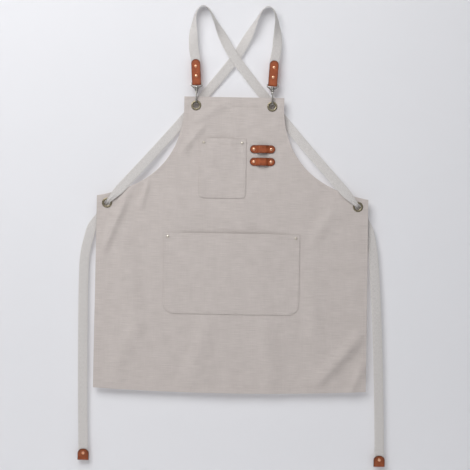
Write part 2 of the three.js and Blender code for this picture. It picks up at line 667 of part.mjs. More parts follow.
// The gate: a knuckle on the pin, a bar that shuts the ring, and a thumb tab.
function gateSolid() {
  const half = HOOK_THICKNESS / 2 - 0.5;
  const left = -SLOT + GAP - 0.05;
  const right = left + TONGUE;
  const front = GATE_Y - GATE_THICKNESS / 2;
  const back = GATE_Y + GATE_THICKNESS / 2;
  const knuckle = rod('x', KNUCKLE, left, right, [0, GATE_Y, -GATE_PIVOT]);
  const stem = block([left, right], [front, back], [THUMB.top, -GATE_PIVOT]);
  const bar = block([-half, half], [front, back], [NOSE_TOP + GAP, FORK_FOOT - 2 * GAP]);
  const thumb = block([-half, half], [GATE_Y + 1, GATE_Y + THUMB.reach], [THUMB.foot, THUMB.top]);
  const bore = rod('x', GATE_PIN + GAP, -FAR, FAR, [0, GATE_Y, -GATE_PIVOT]);
  return cutBy(joined(knuckle, stem, bar, thumb), bore);
}

const eyeGeometry = geometryOf(eyeSolid());
const hookGeometry = geometryOf(hookSolid());
const gateGeometry = geometryOf(gateSolid());
const pinHalf = HOOK_THICKNESS / 2 + CHEEK;
const pin = rodGeometry('x', GATE_PIN, -pinHalf, pinHalf);
const springLeft = -SLOT + TONGUE + 2 * GAP;
const springLength = SLOT - GAP - springLeft;
const springBore = GATE_PIN + GAP;
const coil = ring([[springBore, 0], [KNUCKLE, 0], [KNUCKLE, springLength], [springBore, springLength]], 12);
coil.rotateZ(-Math.PI / 2);
for (const [side, sign] of Object.entries(SIDES)) {
  const hook = new THREE.Group();
  hook.position.set(sign * HOOK_X, GROMMET_MIDDLE, BAR_Z);
  apron.add(hook);
  place(`swivel_eye_${side}`, eyeGeometry, bronze, [0, 0, 0], hook);
  place(`hook_body_${side}`, hookGeometry, bronze, [0, 0, 0], hook);
  place(`gate_${side}`, gateGeometry, bronze, [0, 0, 0], hook);
  place(`gate_pin_${side}`, pin, steel, [0, GATE_Y, -GATE_PIVOT], hook);
  place(`gate_spring_${side}`, coil, steel, [springLeft, GATE_Y, -GATE_PIVOT], hook);
}

// ---------------------------------------------------------------- waist ties

// Each tie leaves the back of its grommet, clears the panel's side and hangs to its leather end.
const TIE_ROUTES = {
  left: [
    [-325.3, 8.4, -515.8], [-329, 10.2, -520.6], [-341, 10.2, -541], [-351.5, 8.6, -560],
    [-360, 8, -577], [-367, 7.4, -604], [-372.6, 7, -628], [-376, 7, -655],
    [-377.4, 7, -700], [-377.6, 7, -760], [-377, 7, -830], [-376.2, 7, -900],
    [-375, 7, -970], [-373.6, 7, -1040], [-372, 7, -1100], [-370.5, 7, -1160],
  ],
  right: [
    [325.3, 8.4, -515.8], [329, 10.2, -520.6], [340, 10.2, -541], [347, 8.6, -560],
    [352.4, 8, -580], [357, 7.4, -604], [361, 7, -628], [364, 7, -655],
    [367.6, 7, -700], [371.6, 7, -760], [375.4, 7, -830], [378.6, 7, -900],
    [381.2, 7, -970], [383.4, 7, -1040], [385, 7, -1100], [386, 7, -1165],
  ],
};

function tieTabSolid() {
  const { width, height, rivetDown, fold } = TIE_TAB;
  const half = width / 2;
  const outline = new THREE.Shape();
  outline.moveTo(-half, 0);
  outline.lineTo(half, 0);
  outline.lineTo(half, height - half * 0.75);
  outline.absellipse(0, height - half * 0.75, half, half * 0.75, 0, Math.PI);
  const outer = LEAF + LEATHER;
  return cutBy(
    plate(outline.getPoints(12), -outer, outer),
    block([-FAR, FAR], [-LEAF, LEAF], [fold, FAR]),
    rod('y', RIVET_HOLE, -FAR, FAR, [0, 0, height - rivetDown]),
  );
}

const tieTabGeometry = geometryOf(tieTabSolid());
for (const [side, route] of Object.entries(TIE_ROUTES)) {
  const [x, y, z] = route.at(-1);
  const tabFoot = z - TIE_TAB.fold - 2 * GAP - 4;
  const rivetAt = [x, y, tabFoot + TIE_TAB.height - TIE_TAB.rivetDown];
  const sharpZones = () => [{ from: 0, to: 30, step: 3 }];
  const tie = solid(webbing(route, { width: drawnWidth, thickness: drawnThickness, sharpZones }));
  const hole = rod('y', RIVET_HOLE, -FAR, FAR, rivetAt);
  place(`waist_tie_${side}`, geometryOf(cutBy(tie, hole)), web);
  place(`tie_end_${side}`, tieTabGeometry, leather, [x, y, tabFoot]);
  place(`tie_end_rivet_${side}`, rivetGeometry(CAP_RIVET, -tabGrip, tabGrip), copper, rivetAt);
}

export default apron;
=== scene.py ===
# %% [markdown]
# # A canvas apron on crossed straps
#
# The apron hangs by the two loops of its shoulder straps. It has one panel of linen canvas, two patch
# pockets, webbing that crosses over the back, leather that joins it to two snap hooks, and brass
# grommets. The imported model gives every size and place, so each piece is modelled straight where it
# belongs, in metres, with X to the right, Y to the back and Z up. We work as a maker would: the stage
# and the finishes first, then the webbing, the cloth, the leather and the metal.

# %% The frame that every piece fits
import math

import bmesh
import bpy
import numpy as np
from mathutils import Matrix, Vector


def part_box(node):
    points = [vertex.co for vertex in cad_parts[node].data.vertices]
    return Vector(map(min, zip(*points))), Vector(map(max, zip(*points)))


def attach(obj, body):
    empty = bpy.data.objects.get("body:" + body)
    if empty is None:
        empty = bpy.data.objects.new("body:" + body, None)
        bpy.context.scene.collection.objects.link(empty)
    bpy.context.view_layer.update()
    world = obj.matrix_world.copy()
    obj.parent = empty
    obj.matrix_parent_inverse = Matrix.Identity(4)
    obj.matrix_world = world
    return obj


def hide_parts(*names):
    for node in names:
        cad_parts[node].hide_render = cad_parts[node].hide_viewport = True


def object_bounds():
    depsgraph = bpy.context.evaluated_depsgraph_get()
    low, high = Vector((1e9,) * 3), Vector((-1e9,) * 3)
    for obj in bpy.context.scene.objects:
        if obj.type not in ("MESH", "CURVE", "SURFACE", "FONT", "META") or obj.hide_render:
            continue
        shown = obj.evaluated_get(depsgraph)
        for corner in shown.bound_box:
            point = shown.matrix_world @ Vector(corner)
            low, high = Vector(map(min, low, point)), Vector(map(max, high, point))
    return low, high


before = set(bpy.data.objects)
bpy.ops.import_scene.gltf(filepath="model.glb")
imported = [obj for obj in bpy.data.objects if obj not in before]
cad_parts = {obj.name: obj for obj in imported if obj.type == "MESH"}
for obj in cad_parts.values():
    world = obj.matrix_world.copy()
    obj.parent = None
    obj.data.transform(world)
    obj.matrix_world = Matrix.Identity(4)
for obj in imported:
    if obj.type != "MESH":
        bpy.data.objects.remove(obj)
cad_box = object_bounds()
MM = 0.001
SIDES = {"left": -1, "right": 1}


def centre(node):
    low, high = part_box(node)
    return (low + high) / 2


def stands_for(piece, node, body="root"):
    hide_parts(node)
    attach(piece, body)


def alone(piece):
    """Makes the piece the active one and the only one selected."""
    bpy.ops.object.select_all(action="DESELECT")
    piece.select_set(True)
    bpy.context.view_layer.objects.active = piece


def soften(piece, angle=40):
    alone(piece)
    bpy.ops.object.shade_smooth_by_angle(angle=math.radians(angle))


def weld(gap):
    """In edit mode, joins all points closer than the gap."""
    bpy.ops.mesh.select_all(action="SELECT")
    bpy.ops.mesh.remove_doubles(threshold=gap)


print("CAD box:", [list(corner) for corner in cad_box])

# %% [markdown]
# ## Stage, light and camera
#
# An apron is shown straight on against a pale wall. The camera stands back with a long lens, so that
# the panel stays square, and it leans by one degree. A real wall would hide the back of the apron from
# a camera behind it, so the wall's material lets light and camera rays through from its back face.
# One large soft light from the upper left gives the folds their shade and the straps a faint shadow,
# a weaker one from the right softens them, and one behind lights the apron's back.
# The view transform is the standard one, so that the pale wall and the undyed linen stay as light as
# they are under daylight.

# %% Wall and floor
WALL_BEHIND = 0.002  # space between the apron's deepest piece and the wall
FLOOR_BELOW = 0.09
panel_low, panel_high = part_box("apron_panel")
wall_y = cad_box[1][1] + WALL_BEHIND
floor_z = cad_box[0][2] - FLOOR_BELOW


def stage_plane(name, size, place, turn, colour):
    bpy.ops.mesh.primitive_plane_add(size=size, location=place, rotation=turn)
    plane = bpy.context.active_object
    plane.name = name
    bpy.ops.object.transform_apply(location=True, rotation=True, scale=True)
    finish = bpy.data.materials.new(name)
    finish.use_nodes = True
    finish.node_tree.nodes["Principled BSDF"].inputs["Base Color"].default_value = (*colour, 1)
    finish.node_tree.nodes["Principled BSDF"].inputs["Roughness"].default_value = 0.9
    finish.node_tree.nodes["Principled BSDF"].inputs["Specular IOR Level"].default_value = 0.2
    plane.data.materials.append(finish)
    return finish.node_tree


WALL_COLOUR = (0.785, 0.785, 0.81)
FLOOR_COLOUR = (0.8, 0.8, 0.8)
wall_middle = (0, wall_y, floor_z + 1.5)
wall_nodes = stage_plane("wall", 3, wall_middle, (math.radians(90), 0, 0), WALL_COLOUR)
stage_plane("floor", 8, (0, 0, floor_z), (0, 0, 0), FLOOR_COLOUR)

facing = wall_nodes.nodes.new("ShaderNodeNewGeometry")
rays = wall_nodes.nodes.new("ShaderNodeLightPath")
either = wall_nodes.nodes.new("ShaderNodeMath")
either.operation = "MAXIMUM"
wall_nodes.links.new(facing.outputs["Backfacing"], either.inputs[0])
wall_nodes.links.new(rays.outputs["Is Shadow Ray"], either.inputs[1])
clear = wall_nodes.nodes.new("ShaderNodeBsdfTransparent")
mix = wall_nodes.nodes.new("ShaderNodeMixShader")
wall_nodes.links.new(either.outputs[0], mix.inputs[0])
wall_nodes.links.new(wall_nodes.nodes["Principled BSDF"].outputs[0], mix.inputs[1])
wall_nodes.links.new(clear.outputs[0], mix.inputs[2])
wall_nodes.links.new(mix.outputs[0], wall_nodes.nodes["Material Output"].inputs["Surface"])

# %% Lights
def soft_light(name, place, aim, size, power):
    lamp = bpy.data.lights.new(name, "AREA")
    lamp.size = size
    lamp.energy = power
    lamp_object = bpy.data.objects.new(name, lamp)
    bpy.context.collection.objects.link(lamp_object)
    lamp_object.location = place
    lamp_object.rotation_euler = (Vector(aim) - Vector(place)).to_track_quat("-Z", "Y").to_euler()


middle = (Vector(cad_box[0]) + Vector(cad_box[1])) / 2
soft_light("key", (-1.05, -1.85, 0.95), middle, 1.7, 48)
soft_light("fill", (1.1, -2.4, 1.2), middle, 2.2, 15)
soft_light("back", (0.6, 2.6, 0.4), middle, 2.4, 60)
world = bpy.data.worlds.new("studio")
world.use_nodes = True
world.node_tree.nodes["Background"].inputs["Color"].default_value = (0.93, 0.95, 1, 1)
world.node_tree.nodes["Background"].inputs["Strength"].default_value = 0.19
bpy.context.scene.world = world
bpy.context.scene.view_settings.view_transform = "Standard"

# %% Camera
CAMERA_BACK = 3.2
FRAME_WIDTH = 1.1985  # what the view takes in at the apron
SENSOR = 36
LEAN = -1  # degrees
VIEW_X, VIEW_Z = 0.0077, -0.5864  # where the view is centred
camera_data = bpy.data.cameras.new("camera")
camera_data.sensor_width = SENSOR
camera_data.lens = SENSOR * CAMERA_BACK / FRAME_WIDTH
camera = bpy.data.objects.new("camera", camera_data)
bpy.context.collection.objects.link(camera)
upright = Matrix.Rotation(math.radians(90), 4, "X")
camera.matrix_world = (Matrix.Translation((VIEW_X, -CAMERA_BACK, VIEW_Z))
                       @ Matrix.Rotation(math.radians(LEAN), 4, "Y") @ upright)
bpy.context.scene.camera = camera
print("lens", round(camera_data.lens, 1), "mm")

# %% [markdown]
# ## Helpers for finishes
#
# A finish is a small tree of shader nodes. Typing out every link hides the idea, so one helper adds a
# node and feeds its inputs from plain values or from other nodes' sockets. Effects that several
# finishes share are node groups, built once: the weave of the canvas, the twill of the webbing, the
# grain of the leather and the patina of the metal. They put out heights and tones, and each material
# turns them into its own colour, roughness and bump.

# %% Node helpers
def add(tree, kind, inputs=None, **settings):
    made = tree.nodes.new("ShaderNode" + kind)
    for name, value in settings.items():
        setattr(made, name, value)
    for name, value in (inputs or {}).items():
        socket = made.inputs[name]
        if isinstance(value, bpy.types.NodeSocket):
            tree.links.new(value, socket)
        else:
            socket.default_value = value
    return made


def calc(tree, operation, *values):
    return add(tree, "Math", dict(enumerate(values)), operation=operation).outputs[0]


def scaled(tree, vector, scale):
    return add(tree, "VectorMath", {0: vector, 1: scale}, operation="MULTIPLY").outputs[0]


def cloud(tree, vector, scale, detail=2.0):
    return add(tree, "TexNoise", {"Vector": vector, "Scale": scale, "Detail": detail}).outputs["Fac"]


def new_group(name, inputs, outputs):
    tree = bpy.data.node_groups.new(name, "ShaderNodeTree")
    for label, kind, value in inputs:
        socket = tree.interface.new_socket(name=label, in_out="INPUT", socket_type="NodeSocket" + kind)
        socket.default_value = value
    for label in outputs:
        tree.interface.new_socket(name=label, in_out="OUTPUT", socket_type="NodeSocketFloat")
    return tree, tree.nodes.new("NodeGroupInput").outputs, tree.nodes.new("NodeGroupOutput").inputs


def use_group(tree, group, inputs):
    made = tree.nodes.new("ShaderNodeGroup")
    made.node_tree = group
    for name, value in inputs.items():
        if isinstance(value, bpy.types.NodeSocket):
            tree.links.new(value, made.inputs[name])
        else:
            made.inputs[name].default_value = value
    return made.outputs


def ramp(tree, factor, *stops):
    made = add(tree, "ValToRGB", {"Fac": factor})
    elements = made.color_ramp.elements
    while len(elements) < len(stops):
        elements.new(0.5)
    for element, (position, colour) in zip(elements, stops):
        element.position = position
        element.color = (*colour, 1)
    return made.outputs["Color"]


# %% The weave of plain canvas
# Two sine waves multiplied make the over-and-under bumps of a plain weave. Thick and thin yarns, the
# slubs of linen, are long thin streaks of noise along the warp and along the weft.
canvas_weave, given, out = new_group("plain_weave", [
    ("Vector", "Vector", (0, 0, 0)),
    ("Threads", "Float", 1500),
    ("Slubs", "Float", 0.5),
], ["Height", "Tone"])
tree = canvas_weave
wander = add(tree, "TexNoise", {"Vector": given["Vector"], "Scale": 260.0, "Detail": 1.0})
nudge = scaled(tree, wander.outputs["Color"], (0.0005, 0.0005, 0.0005))
place = add(tree, "VectorMath", {0: given["Vector"], 1: nudge}, operation="ADD").outputs[0]
axis = add(tree, "SeparateXYZ", {"Vector": place}).outputs
turns = calc(tree, "MULTIPLY", given["Threads"], math.pi)
warp = calc(tree, "SINE", calc(tree, "MULTIPLY", axis["X"], turns))
weft = calc(tree, "SINE", calc(tree, "MULTIPLY", axis["Z"], turns))
over_under = calc(tree, "MULTIPLY_ADD", calc(tree, "MULTIPLY", warp, weft), 0.5, 0.5)
across = cloud(tree, scaled(tree, given["Vector"], (28, 28, 640)), 1.0, 3.0)
upwards = cloud(tree, scaled(tree, given["Vector"], (640, 640, 22)), 1.0, 3.0)
streaks = calc(tree, "MULTIPLY_ADD", upwards, 0.25, calc(tree, "MULTIPLY", across, 0.75))
tree.links.new(calc(tree, "MULTIPLY_ADD", streaks, given["Slubs"], over_under), out["Height"])
tree.links.new(streaks, out["Tone"])

# %% The twill of cotton webbing
# Webbing is woven as a herringbone: slanting ribs that turn back at the middle of its width. The UV map
# runs across and along the tape in centimetres, so the pattern follows every turn of the strap.
tape_twill, given, out = new_group("herringbone", [
    ("Vector", "Vector", (0, 0, 0)),
    ("Ribs", "Float", 9.0),
    ("Width", "Float", 2.4),
], ["Height", "Tone", "Selvedge"])
tree = tape_twill
axis = add(tree, "SeparateXYZ", {"Vector": given["Vector"]}).outputs
half = calc(tree, "MULTIPLY", given["Width"], 0.5)
aside = calc(tree, "ABSOLUTE", calc(tree, "SUBTRACT", axis["X"], half))
slant = calc(tree, "MULTIPLY_ADD", aside, 1.4, axis["Y"])
rib = calc(tree, "SINE", calc(tree, "MULTIPLY", slant, calc(tree, "MULTIPLY", given["Ribs"], math.tau)))
yarn = calc(tree, "SINE", calc(tree, "MULTIPLY", aside, 26 * math.tau))
relief = calc(tree, "MULTIPLY_ADD", yarn, 0.2, calc(tree, "MULTIPLY_ADD", rib, 0.5, 0.5))
fuzz = cloud(tree, scaled(tree, given["Vector"], (9, 1.6, 1)), 1.0, 3.0)
tree.links.new(relief, out["Height"])
tree.links.new(fuzz, out["Tone"])
tree.links.new(calc(tree, "DIVIDE", aside, half), out["Selvedge"])

# %% The grain of leather
leather_grain, given, out = new_group("leather_grain", [
    ("Vector", "Vector", (0, 0, 0)),
    ("Pores", "Float", 1300.0),
], ["Height", "Tone"])
tree = leather_grain
cells = add(tree, "TexVoronoi", {"Vector": given["Vector"], "Scale": given["Pores"]},
            feature="DISTANCE_TO_EDGE")
creases = cloud(tree, given["Vector"], 420.0, 4.0)
pebbles = calc(tree, "MULTIPLY_ADD", creases, 0.5, calc(tree, "MINIMUM", cells.outputs["Distance"], 0.3))
tree.links.new(pebbles, out["Height"])
tree.links.new(cloud(tree, given["Vector"], 95.0, 4.0), out["Tone"])

# %% The patina of old metal
metal_patina, given, out = new_group("patina", [
    ("Vector", "Vector", (0, 0, 0)),
    ("Patches", "Float", 350.0),
], ["Tarnish", "Height"])
tree = metal_patina
patches = cloud(tree, given["Vector"], given["Patches"], 5.0)
sharp = add(tree, "MapRange", {"Value": patches, "From Min": 0.38, "From Max": 0.62})
tree.links.new(sharp.outputs["Result"], out["Tarnish"])
tree.links.new(cloud(tree, given["Vector"], 2600.0, 2.0), out["Height"])
print("shared effects:", [group.name for group in bpy.data.node_groups])

# %% [markdown]
# ## Finishes
#
# Colour comes from a ramp over the group's tone, so no surface is one flat colour. Constant values
# such as sheen and specular level sit on the shader itself. Cloth is rough with a little sheen from its
# loose fibres, leather is waxed and darker where its cut edge is burnished, and the metals are rough
# where they are tarnished.

# %% Material helper
def finish(name, roughness, metallic=0.0, specular=0.5, sheen=0.0):
    material = bpy.data.materials.new(name)
    material.use_nodes = True
    tree = material.node_tree
    shader = tree.nodes["Principled BSDF"]
    shader.inputs["Roughness"].default_value = roughness
    shader.inputs["Metallic"].default_value = metallic
    shader.inputs["Specular IOR Level"].default_value = specular
    shader.inputs["Sheen Weight"].default_value = sheen
    return material, tree, shader


def bump(tree, shader, height, distance, strength=1.0):
    relief = add(tree, "Bump", {"Height": height, "Distance": distance, "Strength": strength})
    tree.links.new(relief.outputs["Normal"], shader.inputs["Normal"])


def where(tree):
    return add(tree, "TexCoord").outputs["Object"]


# %% Linen canvas
def linen(name, dark, light):
    material, tree, shader = finish(name, 0.93, specular=0.15, sheen=0.12)
    spot = where(tree)
    weave = use_group(tree, canvas_weave, {"Vector": spot, "Threads": 1500.0, "Slubs": 0.9})
    washed = cloud(tree, spot, 32.0, 4.0)
    tone = calc(tree, "MULTIPLY_ADD", washed, 0.3, calc(tree, "MULTIPLY", weave["Tone"], 0.8))
    colour = ramp(tree, tone, (0.4, dark), (0.7, light))
    tree.links.new(colour, shader.inputs["Base Color"])
    rumple = calc(tree, "MULTIPLY_ADD", cloud(tree, spot, 55.0, 3.0), 4.0, weave["Height"])
    bump(tree, shader, rumple, 0.00022)
    return material


canvas = linen("linen_canvas", (0.525, 0.474, 0.448), (0.62, 0.563, 0.535))
thread_finish = linen("sewing_thread", (0.53, 0.49, 0.465), (0.70, 0.65, 0.62))

# %% Cotton webbing
webbing_finish, tree, shader = finish("cotton_webbing", 0.9, specular=0.15, sheen=0.12)
tape_map = add(tree, "UVMap", uv_map="tape").outputs["UV"]
twill = use_group(tree, tape_twill, {"Vector": tape_map, "Ribs": 4.5, "Width": 2.4})
# The tape's colour is darker where the twill's height is low, in the grooves between ribs and yarns: painted
# shade. The fuzz adds a random tone of the yarn on top.
shade = calc(tree, "MULTIPLY_ADD", twill["Height"], 0.35, calc(tree, "MULTIPLY", twill["Tone"], 0.7))
tree.links.new(ramp(tree, shade, (0.25, (0.54, 0.515, 0.495)), (0.75, (0.80, 0.77, 0.75))),
               shader.inputs["Base Color"])
bump(tree, shader, twill["Height"], 0.0003)

# %% Leather
def hide(name, deep, mid, bright):
    material, tree, shader = finish(name, 0.5, specular=0.3)
    grain = use_group(tree, leather_grain, {"Vector": where(tree)})
    edge = add(tree, "Attribute", attribute_name="burnish").outputs["Fac"]
    body = ramp(tree, grain["Tone"], (0.3, mid), (0.75, bright))
    burnt = add(tree, "Mix", {"Factor": edge, 6: body, 7: (*deep, 1)}, data_type="RGBA").outputs[2]
    tree.links.new(burnt, shader.inputs["Base Color"])
    matt = calc(tree, "MULTIPLY_ADD", grain["Tone"], 0.3, 0.38)
    tree.links.new(calc(tree, "MULTIPLY_ADD", edge, -0.12, matt), shader.inputs["Roughness"])
    bump(tree, shader, grain["Height"], 0.00025, 0.7)
    return material


strap_leather = hide("strap_leather", (0.11, 0.024, 0.008), (0.26, 0.060, 0.019), (0.41, 0.104, 0.036))
end_leather = hide("tie_end_leather", (0.08, 0.020, 0.007), (0.22, 0.053, 0.017), (0.35, 0.090, 0.031))

# %% Metals
def metal(name, clean, tarnished, roughness, patches=350.0):
    material, tree, shader = finish(name, roughness, metallic=1.0)
    patina = use_group(tree, metal_patina, {"Vector": where(tree), "Patches": patches})
    tree.links.new(ramp(tree, patina["Tarnish"], (0.0, clean), (1.0, tarnished)),
                   shader.inputs["Base Color"])
    tree.links.new(calc(tree, "MULTIPLY_ADD", patina["Tarnish"], 0.22, roughness),
                   shader.inputs["Roughness"])
    bump(tree, shader, patina["Height"], 0.00003)
    return material


copper = metal("rivet_copper", (0.95, 0.62, 0.42), (0.80, 0.42, 0.25), 0.22)
pale_brass = metal("pale_brass", (0.78, 0.73, 0.64), (0.52, 0.47, 0.40), 0.4)
brass = metal("antique_brass", (0.36, 0.315, 0.215), (0.16, 0.14, 0.10), 0.28)
bronze = metal("dark_bronze", (0.46, 0.445, 0.415), (0.20, 0.19, 0.175), 0.22, patches=180.0)
steel = metal("spring_steel", (0.62, 0.62, 0.62), (0.42, 0.42, 0.42), 0.25)
print("finishes:", [material.name for material in bpy.data.materials])

# %% [markdown]
# ## Webbing
#
# Straps and ties are the same 24 mm cotton webbing. Real webbing is a flat woven tape with a rounded
# selvedge, and it draws together in pleats where it passes a grommet. It could be a curve with a flat
# bevel, but a curve can't pleat or turn on edge in one place, so we sweep a section along the route
# ourselves: at each step the section is as wide, as thick and as pleated as that place needs. The
# routes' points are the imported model's own.

# %% Sweeping the tape
WEB_WIDTH = 24 * MM
WEB_THICKNESS = 1.9 * MM
GATHER_WIDTH = 10.5 * MM
GATHER_START = 10 * MM
GATHER_LENGTH = 55 * MM
PLEAT_DEPTH = 1.5 * MM
SECTION_POINTS = 14  # across one face
STEP = 3 * MM  # from one section to the next
ROUTE_SAMPLES = 3000


def smooth(value):
    value = np.clip(value, 0, 1)
    return value * value * (3 - 2 * value)


def route_line(points):
    """A centripetal curve through the points, and its length up to each sample."""
    p = np.array(points, float)
    p = np.vstack([2 * p[0] - p[1], p, 2 * p[-1] - p[-2]])
    line = []
    per = ROUTE_SAMPLES // (len(points) - 1)
    for a, b, c, d in zip(p, p[1:], p[2:], p[3:]):
        gaps = [np.linalg.norm(q - r) ** 0.5 for q, r in ((b, a), (c, b), (d, c))]
        start = ((b - a) / gaps[0] - (c - a) / (gaps[0] + gaps[1]) + (c - b) / gaps[1]) * gaps[1]
        end = ((c - b) / gaps[1] - (d - b) / (gaps[1] + gaps[2]) + (d - c) / gaps[2]) * gaps[1]
        t = np.linspace(0, 1, per, endpoint=False)[:, None]
        line.append(b + start * t + (3 * (c - b) - 2 * start - end) * t ** 2
                    + (2 * (b - c) + start + end) * t ** 3)
    line.append(p[-2][None])
    line = np.vstack(line)
    lengths = np.concatenate([[0], np.cumsum(np.linalg.norm(np.diff(line, axis=0), axis=1))])
    return line, lengths


def mesh_piece(name, vertices, faces, material, angle=50):
    mesh = bpy.data.meshes.new(name)
    mesh.from_pydata([tuple(v) for v in vertices], [], faces)
    mesh.update()
    piece = bpy.data.objects.new(name, mesh)
    bpy.context.collection.objects.link(piece)
    mesh.materials.append(material)
    mesh.polygons.foreach_set("use_smooth", [True] * len(mesh.polygons))
    soften(piece, angle)
    return piece


def tape(name, points, drawn, twist=lambda distance: 0.0):
    """Webbing along a route. drawn(distance, length) is 0 where it is gathered and 1 where it lies flat."""
    line, lengths = route_line(points)
    length = lengths[-1]
    stations = np.linspace(0, length, int(length / STEP) + 1)
    spine = np.stack([np.interp(stations, lengths, line[:, i]) for i in range(3)], 1)
    along = np.gradient(spine, axis=0)
    along /= np.linalg.norm(along, axis=1)[:, None]
    flat = np.cross(along, (0, 1, 0))
    flat /= np.linalg.norm(flat, axis=1)[:, None]
    face = np.cross(along, flat)
    turn = np.array([twist(d) for d in stations])[:, None]
    across = flat * np.cos(turn) + face * np.sin(turn)
    normal = np.cross(along, across)
    open_share = np.array([drawn(d, length) for d in stations])
    width = GATHER_WIDTH + (WEB_WIDTH - GATHER_WIDTH) * open_share
    pleat = PLEAT_DEPTH * (1 - open_share)
    u = np.linspace(-1, 1, SECTION_POINTS)
    selvedge = np.sqrt(1 - np.abs(u) ** 6)
    ribs = 1 + 0.10 * np.cos(u * math.pi * 7)
    half_thick = WEB_THICKNESS / 2 * selvedge * ribs
    vertices, uvs = [], []
    for i, point in enumerate(spine):
        wave = pleat[i] * np.cos(u * math.pi * 1.5)
        for side in (1, -1):
            order = range(SECTION_POINTS) if side == 1 else range(SECTION_POINTS - 2, 0, -1)
            for j in order:
                offset = across[i] * u[j] * width[i] / 2 + normal[i] * (wave[j] + side * half_thick[j])
                vertices.append(point + offset)
                uvs.append(((u[j] + 1) * 1.2, stations[i] * 100))
    loop = 2 * SECTION_POINTS - 2
    faces = [
        (i * loop + j, i * loop + (j + 1) % loop, (i + 1) * loop + (j + 1) % loop, (i + 1) * loop + j)
        for i in range(len(spine) - 1) for j in range(loop)
    ]
    last = (len(spine) - 1) * loop
    faces.append(tuple(range(loop))[::-1])
    faces.append(tuple(last + j for j in range(loop)))
    piece = mesh_piece(name, vertices, faces, webbing_finish)
    tape_uv = piece.data.uv_layers.new(name="tape")
    for corner in piece.data.loops:
        tape_uv.data[corner.index].uv = uvs[corner.vertex_index]
    outward(piece)
    return piece, spine, length


def outward(piece):
    bm = bmesh.new()
    bm.from_mesh(piece.data)
    bmesh.ops.recalc_face_normals(bm, faces=bm.faces)
    bm.to_mesh(piece.data)
    bm.free()


def spread(distance):
    return float(smooth((distance - GATHER_START) / GATHER_LENGTH))


# %% The waist ties
# Each tie leaves the back of its grommet, clears the panel's side and hangs to its leather end.
TIE_ROUTES = {
    "left": [
        (-325.3, 8.4, -515.8), (-329, 10.2, -520.6), (-341, 10.2, -541), (-351.5, 8.6, -560),
        (-360, 8, -577), (-367, 7.4, -604), (-372.6, 7, -628), (-376, 7, -655),
        (-377.4, 7, -700), (-377.6, 7, -760), (-377, 7, -830), (-376.2, 7, -900),
        (-375, 7, -970), (-373.6, 7, -1040), (-372, 7, -1100), (-370.5, 7, -1160),
    ],
    "right": [
        (325.3, 8.4, -515.8), (329, 10.2, -520.6), (340, 10.2, -541), (347, 8.6, -560),
        (352.4, 8, -580), (357, 7.4, -604), (361, 7, -628), (364, 7, -655),
        (367.6, 7, -700), (371.6, 7, -760), (375.4, 7, -830), (378.6, 7, -900),
        (381.2, 7, -970), (383.4, 7, -1040), (385, 7, -1100), (386, 7, -1165),
    ],
}
for side in SIDES:
    route = [tuple(value * MM for value in point) for point in TIE_ROUTES[side]]
    tie, tie_line, tie_length = tape(f"tie_{side}", route, lambda distance, length: spread(distance))
    stands_for(tie, f"waist_tie_{side}")
    print(tie.name, "length", round(tie_length, 3), "m")

# %% The shoulder straps
# From the leather tab each strap rises over its peg, crosses the other over the back and comes round
# to the front of the other side's waist grommet. It turns on edge over the peg.
GROMMET_Y = 1.8 * MM
TAB_LEAN = math.radians(3.5)
BAR_RISE = 56 * MM  # from the bib grommet up to the eye's bar
TAB_LENGTH = 62 * MM
TAB_START = 8 * MM
CROSSING_DROP = 134 * MM
STRAP_BOW = 8 * MM  # the diagonal hangs this far below straight
CROSSING_DEPTH = {"left": 7.3 * MM, "right": 11.3 * MM}
LOOP_TWIST = math.radians(80)
TWIST_SPREAD = 85 * MM
HOOK_X = centre("grommet_bib_right").x
BAR_Z = centre("grommet_bib_right").z + BAR_RISE
TAB_TOP_Z = BAR_Z + TAB_LENGTH * math.cos(TAB_LEAN)
WAIST_HOLE = centre("grommet_waist_right")
HOLE = 7.5 * MM


def on_tab(sign, height):
    return (sign * (HOOK_X + height * math.sin(TAB_LEAN)), GROMMET_Y, BAR_Z + height * math.cos(TAB_LEAN))


def shoulder_route(sign, depth):
    top_x = HOOK_X + TAB_LENGTH * math.sin(TAB_LEAN)
    loop = [(4.6, 3, 0.834), (6.9, 4, 0.548), (5.8, 5, 0.37), (3.2, 5.4, 0.205), (-2, 5.8, 0.098),
            (-9, 6, 0.032), (-18.5, 6.2, 0.008), (-28.5, 6.5, 0.045), (-36.5, 6.8, 0.12), (-43.5, 7, 0.213),
            (-54.5, 7, 0.37), (-71, depth / MM - 0.3, 0.603)]
    diagonal = [(0.303, 16.5), (0.45, 12), (0.62, 5), (0.8, -1.9), (0.91, -3.9)]
    through = [(-1.87, -6.4), (-0.93, -5.9), (-0.35, -3.4), (0, 0), (0.35, 3.4), (1, 6.1)]
    fall = WAIST_HOLE.z + CROSSING_DROP
    down = Vector((WAIST_HOLE.x, fall)).normalized()
    points = [on_tab(sign, height) for height in (TAB_START, TAB_LENGTH / 2, TAB_LENGTH)]
    points += [(sign * (top_x + x * MM), y * MM, drop * TAB_TOP_Z) for x, y, drop in loop]
    points.append((0, depth, -CROSSING_DROP))
    points += [(-sign * share * WAIST_HOLE.x, y * MM,
                -CROSSING_DROP + share * fall - STRAP_BOW * math.sin(math.pi * share))
               for share, y in diagonal]
    points += [(-sign * (WAIST_HOLE.x + run * HOLE * down.x), GROMMET_Y + y * MM,
                WAIST_HOLE.z + run * HOLE * down.y) for run, y in through]
    return points


to_loop_top = -TAB_TOP_Z + TAB_LENGTH - TAB_START + 12 * MM
for side, sign in SIDES.items():
    strap, _, strap_length = tape(
        f"strap_{side}",
        shoulder_route(sign, CROSSING_DEPTH[side]),
        lambda distance, length: spread(length - distance),
        lambda distance: sign * LOOP_TWIST * math.exp(-(abs(distance - to_loop_top) / TWIST_SPREAD) ** 3),
    )
    stands_for(strap, f"shoulder_strap_{side}")
    print(strap.name, "length", round(strap_length, 3), "m")

